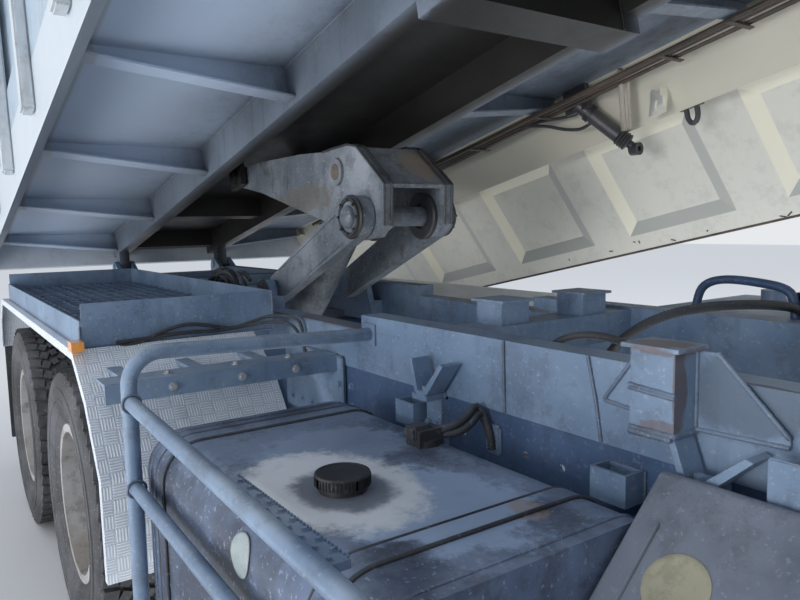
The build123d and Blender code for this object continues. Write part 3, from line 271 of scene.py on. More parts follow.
rim_mask = step(t, calc(t, "SUBTRACT", 1.0, square), 0.015, 0.12)
worn = times(t, times(t, rim_mask, step(t, fine, 0.46, 0.62)), given["Edges"])
bare = calc(t, "MAXIMUM", spots, worn)
t.links.new(mix(t, bare, color, given["Rust"]), out["Color"])
rough = calc(t, "ADD", 0.4, times(t, calc(t, "ADD", cloud_share, dust_share), 0.28))
t.links.new(calc(t, "ADD", rough, times(t, bare, 0.3)), out["Roughness"])
uneven = calc(t, "ADD", times(t, fine, 0.35), times(t, patch_share, -0.8))
t.links.new(calc(t, "SUBTRACT", uneven, times(t, bare, 0.5)), out["Height"])
t.links.new(bare, out["Bare"])
print("group", t.name, "has", len(t.nodes), "nodes")

# %% A painted material made with the group
looks = {}


def painted(slot, paint, faded, dust, rust=(0.13, 0.055, 0.025), cloud=0.6, streaks=0.3, dusty=0.4,
            chips=0.3, edges=0.4, metallic=0.0, bump=0.25, coat=0.0, shift=0.0):
    """A material for one slot of the record, with its own amounts of wear."""
    made = bpy.data.materials.new(slot)
    made.use_nodes = True
    tree = made.node_tree
    look = tree.nodes["Principled BSDF"]
    worn_look = tree.nodes.new("ShaderNodeGroup")
    worn_look.node_tree = paint_group
    colors = {"Paint": paint, "Faded": faded, "Dust": dust, "Rust": rust}
    amounts = {"Cloud": cloud, "Streaks": streaks, "Dusty": dusty, "Chips": chips, "Edges": edges}
    for name, value in colors.items():
        worn_look.inputs[name].default_value = (*value, 1)
    for name, value in amounts.items():
        worn_look.inputs[name].default_value = value
    tree.links.new(worn_look.outputs["Color"], look.inputs["Base Color"])
    tree.links.new(calc(tree, "ADD", worn_look.outputs["Roughness"], shift), look.inputs["Roughness"])
    raised = put(tree, "Bump", {"Strength": bump, "Distance": 0.002, "Height": worn_look.outputs["Height"]})
    tree.links.new(raised.outputs[0], look.inputs["Normal"])
    look.inputs["Metallic"].default_value = metallic
    look.inputs["Coat Weight"].default_value = coat
    looks[slot] = made


def opened(slot):
    """A finish's tree, its shader and the colour that it has so far."""
    tree = looks[slot].node_tree
    look = tree.nodes["Principled BSDF"]
    return tree, look, look.inputs["Base Color"].links[0].from_socket


def recolor(look, color):
    """Gives a shader its new colour."""
    look.id_data.links.new(color, look.inputs["Base Color"])


def add_relief(tree, look, height, strength, distance):
    """Lays one more relief over the bumps that a finish has so far."""
    relief = put(tree, "Bump", {"Strength": strength, "Distance": distance, "Height": height,
                                "Normal": look.inputs["Normal"].links[0].from_socket})
    tree.links.new(relief.outputs[0], look.inputs["Normal"])

# %% [markdown]
# ## Paints and metals
# The frame is a slate blue sprayed over everything, chalky where the sun reached it. The body above is
# greyer. The gate is a cream that has yellowed, the walls and the cab are white.

# %% Materials of the painted parts
painted("chassis_paint", (0.128, 0.195, 0.298), (0.235, 0.322, 0.44), (0.33, 0.385, 0.46),
        dusty=0.55, chips=0.35, edges=0.35)
# The rails' paint is the frame's slate blue darkened: painted shade for the rails, which sit low under the
# tank and the subframe.
painted("rail_blue_in_painted_shade", (0.044, 0.082, 0.165), (0.078, 0.135, 0.245), (0.17, 0.22, 0.31), dusty=0.4)
painted("weld_seam", (0.07, 0.102, 0.16), (0.18, 0.24, 0.33), (0.26, 0.3, 0.36), rust=(0.09, 0.05, 0.03),
        cloud=0.8, chips=0.8, edges=0.2)
painted("hoist_grey", (0.13, 0.152, 0.18), (0.28, 0.312, 0.355), (0.36, 0.38, 0.41), rust=(0.11, 0.06, 0.04),
        cloud=1.0, streaks=0.7, chips=0.9, edges=0.7)
painted("body_paint", (0.19, 0.23, 0.29), (0.33, 0.395, 0.49), (0.41, 0.44, 0.48), cloud=0.5,
        streaks=0.55, chips=0.55, edges=0.3)
painted("gate_cream", (0.82, 0.8, 0.71), (0.86, 0.84, 0.74), (0.78, 0.75, 0.66),
        rust=(0.06, 0.05, 0.045), cloud=0.25, streaks=0.1, chips=0.42, edges=0.35, dusty=0.2)
painted("white_paint", (0.56, 0.61, 0.67), (0.66, 0.7, 0.74), (0.54, 0.56, 0.59), cloud=0.22, streaks=0.14,
        chips=0.35, edges=0.3)
painted("cab_white", (0.74, 0.76, 0.78), (0.79, 0.81, 0.82), (0.66, 0.67, 0.68), cloud=0.1, streaks=0.05,
        dusty=0.04, chips=0.04, edges=0.06, coat=0.5, shift=-0.16, bump=0.05)
painted("tank_black", (0.032, 0.045, 0.078), (0.14, 0.195, 0.31), (0.27, 0.33, 0.44),
        rust=(0.22, 0.19, 0.18), cloud=0.95, dusty=0.5, chips=0.55, edges=0.15)
painted("black_plastic", (0.016, 0.018, 0.022), (0.045, 0.05, 0.058), (0.11, 0.12, 0.13),
        rust=(0.08, 0.08, 0.08), chips=0.05, edges=0.2, shift=0.08)
painted("cover_plastic", (0.092, 0.11, 0.148), (0.148, 0.172, 0.222), (0.26, 0.295, 0.36),
        rust=(0.2, 0.2, 0.21), chips=0.3, edges=0.25, dusty=0.5, shift=0.1)
painted("cast", (0.02, 0.024, 0.03), (0.06, 0.066, 0.075), (0.12, 0.12, 0.12), rust=(0.1, 0.045, 0.02),
        chips=0.6, edges=0.4, shift=0.1)
painted("dark_steel", (0.1, 0.1, 0.11), (0.19, 0.18, 0.17), (0.2, 0.2, 0.2), rust=(0.16, 0.07, 0.03),
        chips=0.7, edges=0.5, metallic=0.5)
painted("rim", (0.42, 0.43, 0.44), (0.26, 0.22, 0.19), (0.4, 0.38, 0.35), rust=(0.2, 0.085, 0.035),
        cloud=0.9, chips=1.0, edges=0.8, dusty=0.3)
painted("tyre", (0.028, 0.029, 0.032), (0.125, 0.13, 0.145), (0.22, 0.22, 0.23), rust=(0.1, 0.1, 0.1),
        cloud=0.8, chips=0.2, edges=0.1, shift=0.25)
painted("seat_fabric", (0.03, 0.034, 0.045), (0.055, 0.06, 0.075), (0.08, 0.08, 0.09),
        rust=(0.05, 0.05, 0.06), chips=0.0, edges=0.0, shift=0.35)
painted("chrome_rod", (0.55, 0.55, 0.56), (0.42, 0.42, 0.43), (0.3, 0.28, 0.25), rust=(0.12, 0.08, 0.05),
        cloud=0.5, chips=0.2, edges=0.1, metallic=1.0, shift=-0.22, bump=0.05)
painted("lamp_lens", (0.75, 0.3, 0.06), (0.8, 0.36, 0.09), (0.55, 0.35, 0.2), rust=(0.4, 0.2, 0.1),
        chips=0.0, edges=0.0, coat=0.6, shift=-0.2, bump=0.05)
painted("rusty_pipe", (0.06, 0.046, 0.038), (0.125, 0.092, 0.068), (0.2, 0.155, 0.11), rust=(0.3, 0.13, 0.05),
        cloud=0.9, chips=0.8, edges=0.2, shift=0.1)
painted("hose_rubber", (0.022, 0.024, 0.028), (0.06, 0.068, 0.08), (0.14, 0.16, 0.19), rust=(0.1, 0.1, 0.1),
        cloud=0.8, chips=0.1, edges=0.1, shift=0.15)
painted("beige_disc", (0.3, 0.29, 0.2), (0.36, 0.35, 0.25), (0.28, 0.27, 0.22), chips=0.2, edges=0.3)
painted("pale_disc", (0.3, 0.36, 0.37), (0.38, 0.43, 0.44), (0.28, 0.3, 0.32), chips=0.2, edges=0.2)
painted("bright_bolt", (0.58, 0.6, 0.62), (0.38, 0.4, 0.42), (0.4, 0.4, 0.4), rust=(0.2, 0.09, 0.04),
        chips=0.5, metallic=0.7)
painted("grease", (0.03, 0.032, 0.036), (0.08, 0.085, 0.092), (0.1, 0.1, 0.1), rust=(0.1, 0.05, 0.025),
        cloud=0.8, chips=0.5, edges=0.5, shift=-0.1)
painted("rusty_head", (0.095, 0.085, 0.08), (0.19, 0.15, 0.115), (0.16, 0.14, 0.13), rust=(0.16, 0.08, 0.045),
        cloud=1.0, chips=0.9, edges=0.7)
# The right wall's sheet is the white paint darkened and tinted blue: painted shade and blue sky light, while
# its ribs stay paler.
painted("wall_white_in_painted_shade", (0.32, 0.4, 0.48), (0.37, 0.45, 0.53), (0.34, 0.39, 0.44), cloud=0.4, chips=0.3)
painted("wall_rib", (0.48, 0.52, 0.56), (0.54, 0.58, 0.61), (0.46, 0.48, 0.51),
        cloud=0.4, chips=0.4, edges=0.4)
painted("worn_link", (0.42, 0.39, 0.33), (0.55, 0.51, 0.44), (0.4, 0.36, 0.3), rust=(0.2, 0.1, 0.05),
        cloud=0.8, chips=0.7, edges=0.6)

# %% Cloth of the seats: a weave of two crossing rows of threads
tree, look, so_far = opened("seat_fabric")
cloth_place = object_place(tree)
warp, weft = (put(tree, "TexWave", {"Vector": cloth_place, "Scale": 90.0}, bands_direction=way).outputs["Fac"]
              for way in ("Y", "DIAGONAL"))
thread = times(tree, warp, weft)
recolor(look, mix(tree, times(tree, thread, 0.5), so_far, (0.1, 0.11, 0.13, 1)))
add_relief(tree, look, thread, 0.35, 0.001)

# %% Clear glass
glass = bpy.data.materials.new("glass")
glass.use_nodes = True
tree = glass.node_tree
pane = tree.nodes["Principled BSDF"]
pane.inputs["Base Color"].default_value = (0.8, 0.88, 0.9, 1)
pane.inputs["Transmission Weight"].default_value = 1.0
smear = noise(tree, object_place(tree), 5.0, 6.0)
tree.links.new(times(tree, step(tree, smear, 0.45, 0.8), 0.22), pane.inputs["Roughness"])
looks["glass"] = glass

# %% [markdown]
# ## Tread plate
# The wings are folded from aluminium tread plate: groups of five short raised bars, each group turned a
# quarter to its neighbours. A square grid gives the groups, its checker gives the turn, and the bars are a
# wave inside each cell. The plate's own direction comes from its normal, so the pattern bends with it.

# %% Group: five raised bars in each cell
tread_group, given, out = open_group(
    "five_bar_tread",
    [("Cell", "Float", 0.036), ("Bars", "Float", 5.0)],
    [("Mask", "Float"), ("Cell Tone", "Float")],
)
t = tread_group
place = parts_of(t, object_place(t))
normal = parts_of(t, object_normal(t))
along_slope = calc(t, "SUBTRACT", times(t, place[2], normal[0]), times(t, place[0], normal[2]))
on_side = step(t, calc(t, "ABSOLUTE", normal[1]), 0.6, 0.7)


def pick(first, second, share):
    """A number between two others."""
    return put(t, "Mix", {0: share, 2: first, 3: second}, data_type="FLOAT").outputs[0]


first_way = calc(t, "DIVIDE", pick(place[1], place[0], on_side), given["Cell"])
second_way = calc(t, "DIVIDE", pick(along_slope, place[2], on_side), given["Cell"])
cells_passed = calc(t, "ADD", calc(t, "FLOOR", first_way), calc(t, "FLOOR", second_way))
checker = calc(t, "FLOORED_MODULO", cells_passed, 2.0)
inner_a = calc(t, "FRACT", first_way)
inner_b = calc(t, "FRACT", second_way)
across = pick(inner_a, inner_b, checker)
length = pick(inner_b, inner_a, checker)
bar_turns = times(t, calc(t, "SUBTRACT", across, 0.5), given["Bars"])
wave = calc(t, "COSINE", times(t, bar_turns, 2 * math.pi))
ends = step(t, calc(t, "ABSOLUTE", calc(t, "SUBTRACT", length, 0.5)), 0.48, 0.4)
t.links.new(times(t, step(t, wave, -0.25, 0.55), ends), out["Mask"])
t.links.new(checker, out["Cell Tone"])

# %% Material of the wings
painted("chequer", (0.68, 0.74, 0.82), (0.78, 0.82, 0.87), (0.76, 0.79, 0.84), rust=(0.1, 0.09, 0.08),
        cloud=0.5, streaks=0.25, chips=0.2, edges=0.3, metallic=0.15, shift=-0.05)
tree, look, plate_color = opened("chequer")
bars = tree.nodes.new("ShaderNodeGroup")
bars.node_tree = tread_group
bars.inputs["Cell"].default_value = 0.044
bars.inputs["Bars"].default_value = 5.0
bright = mix(tree, 0.85, plate_color, (0.9, 0.94, 0.98, 1))
dull = mix(tree, 0.4, plate_color, (0.46, 0.54, 0.66, 1))
recolor(look, mix(tree, bars.outputs["Mask"], dull, bright))
add_relief(tree, look, bars.outputs["Mask"], 0.8, 0.0025)

# %% Give every CAD node the material of its slot
slot_of = {entry["node"]: entry["material_slot"] for entry in frame["record"]["subparts"]}
# The rails get the frame's blue darkened as painted shade, and the right wall its white darkened and tinted
# blue as painted shade and sky light.
own_finish = {"frame_rails": "rail_blue_in_painted_shade", "right_wall": "wall_white_in_painted_shade", "oil_tank": "chassis_paint",
              "upper_arms": "hoist_grey", "lower_arms": "hoist_grey", "hoist_cylinder": "hoist_grey"}
for name, thing in nodes.items():
    thing.data.materials.clear()
    thing.data.materials.append(looks[own_finish.get(name, slot_of[name])])
print("materials", len(looks), "on", len(nodes), "nodes")

# %% [markdown]
# ## Stains and painted light at known places
# A stain is a patch with a broken edge: the ring round the filler where fuel took the dirt off, or rust
# where paint was knocked away. The same patch also lays painted light: a bluish painted sheen on the tank's
# top, and painted shade on the right gusset. The group measures how far a point is from the patch's middle
# and adds noise to that, so one group makes every patch, each with its own place, size and colour.

# %% Group: one patch, a stain or painted light, and a helper that lays it over a finish
stain_and_light_group, given, out = open_group(
    "one_stain_and_light_patch",
    [("Middle", "Vector", (0, 0, 0)), ("Reach", "Vector", (0.1, 0.1, 0.1)), ("Broken", "Float", 0.8)],
    [("Mask", "Float")],
)
t = stain_and_light_group
place = object_place(t)
away = put(t, "VectorMath", {0: place, 1: given["Middle"]}, operation="SUBTRACT").outputs[0]
scaled = put(t, "VectorMath", {0: away, 1: given["Reach"]}, operation="DIVIDE").outputs[0]
far = put(t, "VectorMath", {0: scaled}, operation="LENGTH").outputs["Value"]
torn = noise(t, place, 16.0, 8.0, 0.7)
far = calc(t, "ADD", far, times(t, calc(t, "SUBTRACT", torn, 0.5), given["Broken"]))
t.links.new(step(t, far, 1.08, 0.78), out["Mask"])


def stain_and_light_patch(slot, middle, reach, color, strength, broken):
    """Lays one patch, a stain or painted light, over the colour that a finish has so far."""
    tree, look, before = opened(slot)
    spot = tree.nodes.new("ShaderNodeGroup")
    spot.node_tree = stain_and_light_group
    for name, value in (("Middle", middle), ("Reach", reach), ("Broken", broken)):
        spot.inputs[name].default_value = value
    recolor(look, mix(tree, times(tree, spot.outputs["Mask"], strength), before, (*color, 1)))


for row in (
    # The first two rows are painted light: a bluish painted sheen on the tank's top, standing in for sky
    # light.
    ("tank_black", at(760, -820, 1033), (0.24, 0.2, 0.05), (0.36, 0.465, 0.65), 0.8, 1.3),
    ("tank_black", at(330, -800, 1033), (0.16, 0.2, 0.05), (0.28, 0.36, 0.5), 0.65, 1.3),
    ("tank_black", at(560, -935, 1030), (0.245, 0.185, 0.06), (0.74, 0.77, 0.8), 0.85, 0.9),
    ("tank_black", at(587, -926, 1030), (0.135, 0.105, 0.05), (0.09, 0.115, 0.155), 0.85, 0.7),
    ("tank_black", at(900, -700, 1035), (0.05, 0.04, 0.02), (0.32, 0.21, 0.11), 0.5, 1.6),
    ("body_paint", on_body(3925, 60, 58), (0.11, 0.12, 0.04), (0.22, 0.11, 0.07), 0.8, 1.2),
    ("body_paint", on_body(3925, 60, 58), (0.08, 0.09, 0.04), (0.5, 0.46, 0.42), 0.8, 1.2),
    ("body_paint", on_body(3900, -330, 58), (0.1, 0.07, 0.04), (0.035, 0.022, 0.018), 0.9, 1.0),
    ("hoist_grey", at(-500, 80, 1812), (0.12, 0.1, 0.08), (0.36, 0.29, 0.22), 0.7, 1.6),
    ("hoist_grey", at(-1060, -163, 1700), (0.3, 0.05, 0.06), (0.15, 0.13, 0.1), 0.6, 2.2),
    ("chassis_paint", at(-300, 0, 1235), (0.5, 0.6, 0.012), (0.1, 0.06, 0.04), 0.5, 1.5),
    # This row is painted shade: it darkens the right gusset, which faces the near lamp.
    ("chassis_paint", at(1160, -436, 1262), (0.13, 0.02, 0.085), (0.07, 0.098, 0.14), 0.75, 1.0),
    ("chassis_paint", at(1030, -480, 1338), (0.075, 0.06, 0.012), (0.15, 0.1, 0.085), 0.65, 1.5),
    ("chassis_paint", at(1080, -500, 1262), (0.008, 0.03, 0.085), (0.11, 0.07, 0.055), 0.7, 1.3),
    ("chassis_paint", at(1062, -512, 1192), (0.05, 0.02, 0.016), (0.12, 0.08, 0.065), 0.6, 1.6),
):
    stain_and_light_patch(*row)
print("stains laid")

# %% The body's underside: painted light over the right outer bays, and darker towards the middle
tree, look, so_far = opened("body_paint")
from_middle = calc(tree, "SUBTRACT", parts_of(tree, object_place(tree))[1], middle_y)
apart = calc(tree, "ABSOLUTE", from_middle)
cloudy = noise(tree, object_place(tree), 2.2, 6.0)
# The pale blue over the outer bays on the right side is painted light: a hazy brightness from the side.
bay_light_share = step(tree, calc(tree, "ADD", apart, times(tree, cloudy, 0.25)), 0.42, 0.95)
right_light_share = step(tree, from_middle, 0.1, -0.6)
painted_bay_light = mix(tree, times(tree, bay_light_share, 0.92), so_far, (0.6, 0.72, 0.9, 1))
right_bays_lit = mix(tree, times(tree, right_light_share, 0.95), so_far, painted_bay_light)
# Darker towards the middle, between the long beams.
darker_middle = mix(tree, step(tree, apart, 0.45, 0.33), right_bays_lit, (0.02, 0.019, 0.018, 1))
left_rail = mix(tree, step(tree, from_middle, 1.075, 1.09), darker_middle, (0.7, 0.67, 0.56, 1))
white_rail = mix(tree, step(tree, from_middle, -1.085, -1.1), left_rail, (0.46, 0.51, 0.56, 1))

# %% The load floor, scoured bare by the loads
body_up = Vector((-math.sin(tilt), 0.0, math.cos(tilt)))
stretched = put(tree, "Mapping", {"Vector": object_place(tree), "Scale": (1.2, 14.0, 1.2)}).outputs[0]
scoured = noise(tree, stretched, 2.0, 8.0, 0.7)
bare_floor = mix(tree, step(tree, scoured, 0.42, 0.6), (0.2, 0.185, 0.17, 1), (0.27, 0.26, 0.25, 1))
load_side = times(tree, step(tree, toward(tree, object_normal(tree), body_up), 0.9, 0.97),
                  step(tree, apart, 1.2, 1.16))
recolor(look, mix(tree, load_side, white_rail, bare_floor))

# %% The gate: greyer fields, and painted light and shade on its sloping flanks
tree, look, so_far = opened("gate_cream")
surface = object_normal(tree)
gate_turn = math.radians(-150)
swing_sin, swing_cos = math.sin(gate_turn), math.cos(gate_turn)
sheet_way = Vector((-math.sin(tilt) * swing_sin, swing_cos, math.cos(tilt) * swing_sin))
down_way = Vector((-math.sin(tilt) * swing_cos, -swing_sin, math.cos(tilt) * swing_cos))
along_way = Vector((math.cos(tilt), 0.0, math.sin(tilt)))
flank = step(tree, calc(tree, "ABSOLUTE", toward(tree, surface, sheet_way)), 0.985, 0.95)
grey_field = mix(tree, 0.2, so_far, (0.6, 0.64, 0.66, 1))
# Flanks that face down or along the body get a painted highlight, the other flanks painted shade.
lit_flank_share = calc(tree, "MAXIMUM", step(tree, toward(tree, surface, down_way), 0.05, 0.15),
                  step(tree, toward(tree, surface, along_way), 0.05, 0.15))
flank_light_and_shade = mix(tree, lit_flank_share, (0.56, 0.58, 0.55, 1), (0.92, 0.89, 0.74, 1))
recolor(look, mix(tree, flank, grey_field, flank_light_and_shade))

# %% Lamps: clear in front, red behind, amber between
tree, look, amber = opened("lamp_lens")
along_x = parts_of(tree, object_place(tree))[0]
front_clear = mix(tree, step(tree, along_x, 2.9, 3.1), amber, (0.66, 0.7, 0.72, 1))
recolor(look, mix(tree, step(tree, along_x, -2.9, -3.1), front_clear, (0.42, 0.02, 0.015, 1)))

# %% [markdown]
# ## Making and placing the added pieces
# Small pieces are made from three kinds of mesh: blocks with broken edges, turned shapes, and tubes along
# smooth lines. All of them are drawn in millimetres off the truck's centre plane, then placed in metres.

# %% Helpers: finished pieces, blocks, turned shapes and lines
def ready(name, mesh, body, slot, finish=None, smooth=35):
    """Gives a mesh its name and finish, and lets it ride on a body of the truck."""
    mesh.name = name
    piece = bpy.data.objects.new(name, mesh)
    scene.collection.objects.link(piece)
    mesh.materials.clear()
    mesh.materials.append(looks[finish or slot])
    mesh.shade_smooth()
    mesh.set_sharp_from_angle(angle=math.radians(smooth))
    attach(piece, body)
    return piece


def as_mesh(shape):
    """Closes a bmesh with its faces turned outwards."""
    bmesh.ops.recalc_face_normals(shape, faces=shape.faces[:])
    mesh = bpy.data.meshes.new("shape")
    shape.to_mesh(mesh)
    shape.free()
    return mesh


def blocks(table, place=at, edge=2.0):
    """One mesh of blocks with broken edges; each row is a lowest and a highest corner."""
    whole = bmesh.new()
    for low, high in table:
        shape = bmesh.new()
        size = [b - a for a, b in zip(low, high)]
        for corner in bmesh.ops.create_cube(shape, size=1)["verts"]:
            corner.co = place(*(a + d * (c + 0.5) for a, d, c in zip(low, size, corner.co)))
        bmesh.ops.bevel(shape, geom=shape.edges[:], offset=edge / 1000, segments=2, affect="EDGES")
        part = as_mesh(shape)
        whole.from_mesh(part)
        bpy.data.meshes.remove(part)
    return as_mesh(whole)


def both_sides(x, y, z):
    """Two boxes from the ranges of the left one; the right one comes first."""
    return [((x[0], -y[1], z[0]), (x[1], -y[0], z[1])), ((x[0], y[0], z[0]), (x[1], y[1], z[1]))]


def skin(shape, rows, closed=True):
    """Faces between neighbouring rows of corners; closed rows also join their two ends."""
    for first, second in zip(rows, rows[1:]):
        for k in range(len(first) if closed else len(first) - 1):
            n = (k + 1) % len(first)
            shape.faces.new((first[k], first[n], second[n], second[k]))


def thicken(piece, thickness):
    """Gives a single sheet its thickness, in millimetres."""
    wall = piece.modifiers.new("thickness", "SOLIDIFY")
    wall.thickness = thickness / 1000
    return wall


def turned(profile, centre, axis=(0, -1, 0), steps=36):
    """A shape turned round an axis; the profile is (distance, radius) pairs in millimetres."""
    shape = bmesh.new()
    turn = Vector(axis).to_track_quat("Z", "Y")
    rings = []
    for distance, radius in profile:
        ring = []
        for k in range(steps):
            angle = 2 * math.pi * k / steps
            spot = Vector((radius * math.cos(angle), radius * math.sin(angle), distance)) / 1000
            ring.append(shape.verts.new(Vector(centre) + turn @ spot))
        rings.append(ring)
    skin(shape, rings)
    if profile[0] != profile[-1]:
        shape.faces.new(rings[0])
        shape.faces.new(rings[-1])
    bmesh.ops.remove_doubles(shape, verts=shape.verts[:], dist=1e-6)
    return as_mesh(shape)


def together(meshes):
    """Several meshes as one."""
    whole = bmesh.new()
    for mesh in meshes:
        whole.from_mesh(mesh)
    result = bpy.data.meshes.new("together")
    whole.to_mesh(result)
    whole.free()
    return result


def smooth_line(points):
    """Close points on one smooth curve near the given ones."""
    curve = bpy.data.curves.new("line", "CURVE")
    curve.dimensions = "3D"
    spline = curve.splines.new("NURBS")
    spline.points.add(len(points) - 1)
    for knot, spot in zip(spline.points, points):
        knot.co = (*spot, 1)
    spline.order_u = 3
    spline.use_endpoint_u = True
    curve.resolution_u = 8
    holder = bpy.data.objects.new("line", curve)
    scene.collection.objects.link(holder)
    sampled = bpy.data.meshes.new_from_object(holder)
    bpy.data.objects.remove(holder)
    return [vertex.co.copy() for vertex in sampled.vertices]


def bent(*spots, place=at):
    """A smooth line from its points in millimetres."""
    return smooth_line([place(*spot) for spot in spots])


def run_mesh(runs):
    """Lines of points as one mesh of edges, ready for a node tree."""
    spots, edges = [], []
    for run in runs:
        edges += [(len(spots) + k, len(spots) + k + 1) for k in range(len(run) - 1)]
        spots += run
    mesh = bpy.data.meshes.new("runs")
    mesh.from_pydata(spots, edges, [])
    return mesh


def spot_mesh(spots):
    """Points that each look one way, ready for a node tree; rows are (place, direction)."""
    mesh = bpy.data.meshes.new("spots")
    mesh.from_pydata([place for place, facing in spots], [], [])
    mesh.attributes.new("facing", "FLOAT_VECTOR", "POINT")
    for item, (place, facing) in zip(mesh.attributes["facing"].data, spots):
        item.vector = facing
    return mesh

# %% Helpers: a geometry tree, and running it to a plain mesh
def grow_tree(name, inputs):
    """A new geometry tree with named inputs (name, kind, default)."""
    shape, finish = [("Geometry", "Geometry")], [("Finish", "Material")]
    return open_group(name, shape + inputs + finish, shape, "GeometryNodeTree")


def close_tree(tree, shape, given, out):
    """Ends a tree: real geometry, and the finish on it."""
    real = put(tree, "GeometryNodeRealizeInstances", {"Geometry": shape})
    painted_shape = put(tree, "GeometryNodeSetMaterial", {
        "Geometry": real.outputs[0], "Material": given["Finish"]})
    tree.links.new(painted_shape.outputs[0], out["Geometry"])


def grown(tree, start, **sizes):
    """Runs a tree on a start mesh and keeps the result as a plain mesh."""
    sizes.setdefault("Finish", looks["chassis_paint"])
    holder = bpy.data.objects.new("growing", start)
    scene.collection.objects.link(holder)
    modifier = holder.modifiers.new("grow", "NODES")
    modifier.node_group = tree
    for item in tree.interface.items_tree:
        if item.in_out == "INPUT" and item.name in sizes:
            modifier[item.identifier] = sizes[item.name]
    ready_shape = holder.evaluated_get(bpy.context.evaluated_depsgraph_get())
    mesh = bpy.data.meshes.new_from_object(ready_shape)
    holder.modifiers.clear()
    bpy.data.objects.remove(holder)
    if "facing" in mesh.attributes:
        mesh.attributes.remove(mesh.attributes["facing"])
    return mesh

# %% [markdown]
# ## Three trees that repeat
# A tube follows a line, with a ripple that makes it a weld bead or a ribbed hose. A fastener stands on every
# point of a mesh. A ring sets blocks round a circle, which gives tyre lugs and the grip of a cap.

# %% Tree: a tube along lines, plain or rippled
tube_tree, given, out = grow_tree("tube_on_lines", [
    ("Radius", "Float", 0.004), ("Step", "Float", 0.006), ("Ripple", "Float", 0.0), ("Uneven", "Float", 0.0),
    ("Sides", "Int", 8), ("Seed", "Int", 1)])
t = tube_tree
lines = put(t, "GeometryNodeMeshToCurve", {"Mesh": given["Geometry"]})
spaced = put(t, "GeometryNodeResampleCurve", {
    "Curve": lines.outputs[0], "Length": given["Step"]}, mode="LENGTH")
count_of = put(t, "GeometryNodeInputIndex").outputs[0]
wave = times(t, calc(t, "MODULO", count_of, 2.0), given["Ripple"])
chance = put(t, "FunctionNodeRandomValue", {"Seed": given["Seed"]}, data_type="FLOAT").outputs[1]
swell = calc(t, "ADD", calc(t, "ADD", 1.0, wave), times(t, chance, given["Uneven"]))
ring = put(t, "GeometryNodeCurvePrimitiveCircle", {"Resolution": given["Sides"], "Radius": given["Radius"]})
tube = put(t, "GeometryNodeCurveToMesh", {
    "Curve": spaced.outputs[0], "Profile Curve": ring.outputs[0], "Scale": swell, "Fill Caps": True})
close_tree(t, tube.outputs[0], given, out)


def tubes(runs, radius, gap=6.0, ripple=0.0, uneven=0.0, sides=8, seed=1):
    """Tubes along lines of points, with sizes in millimetres."""
    return grown(tube_tree, run_mesh(runs), Radius=radius / 1000, Step=gap / 1000, Ripple=ripple,
                 Uneven=uneven, Sides=sides, Seed=seed)


def weld(runs, size=3.5, seed=1):
    """Weld beads along straight or bent lines."""
    return tubes(runs, size, gap=4.5, ripple=0.22, uneven=0.35, sides=6, seed=seed)


def beads(name, runs, size, seed, body="chassis", slot="chassis_paint", finish="weld_seam"):
    """A finished piece of weld beads."""
    ready(name, weld(runs, size, seed), body, slot, finish, 60)


def hoses(name, runs, radius, gap, sides=8, ripple=0.0):
    """A finished piece of rubber hoses or cables on the chassis."""
    mesh = tubes(runs, radius, gap=gap, ripple=ripple, sides=sides)
    ready(name, mesh, "chassis", "black_plastic", "hose_rubber", 60)

# %% Tree: a fastener on every point
fastener_tree, given, out = grow_tree("fastener_on_points", [
    ("Radius", "Float", 0.01), ("Height", "Float", 0.008), ("Washer", "Float", 0.015), ("Corners", "Int", 6)])
t = fastener_tree
head = put(t, "GeometryNodeMeshCylinder", {
    "Vertices": given["Corners"], "Radius": given["Radius"], "Depth": given["Height"]})
lift = put(t, "CombineXYZ", {2: times(t, given["Height"], 0.72)})
raised_head = put(t, "GeometryNodeTransform", {"Geometry": head.outputs[0], "Translation": lift.outputs[0]})
disc = put(t, "GeometryNodeMeshCylinder", {
    "Vertices": 16, "Radius": given["Washer"], "Depth": times(t, given["Height"], 0.44)})
both = put(t, "GeometryNodeJoinGeometry")
t.links.new(raised_head.outputs[0], both.inputs[0])
t.links.new(disc.outputs[0], both.inputs[0])
facing = put(t, "GeometryNodeInputNamedAttribute", {"Name": "facing"}, data_type="FLOAT_VECTOR").outputs[0]
turned_to = put(t, "FunctionNodeAlignRotationToVector", {"Vector": facing}, axis="Z").outputs[0]
stood = put(t, "GeometryNodeInstanceOnPoints", {
    "Points": given["Geometry"], "Instance": both.outputs[0], "Rotation": turned_to})
close_tree(t, stood.outputs[0], given, out)


def fasteners(spots, radius, height, washer, corners=6):
    """Bolt heads or rivets on points, with sizes in millimetres."""
    return grown(fastener_tree, spot_mesh(spots), Radius=radius / 1000, Height=height / 1000,
                 Washer=washer / 1000, Corners=corners)

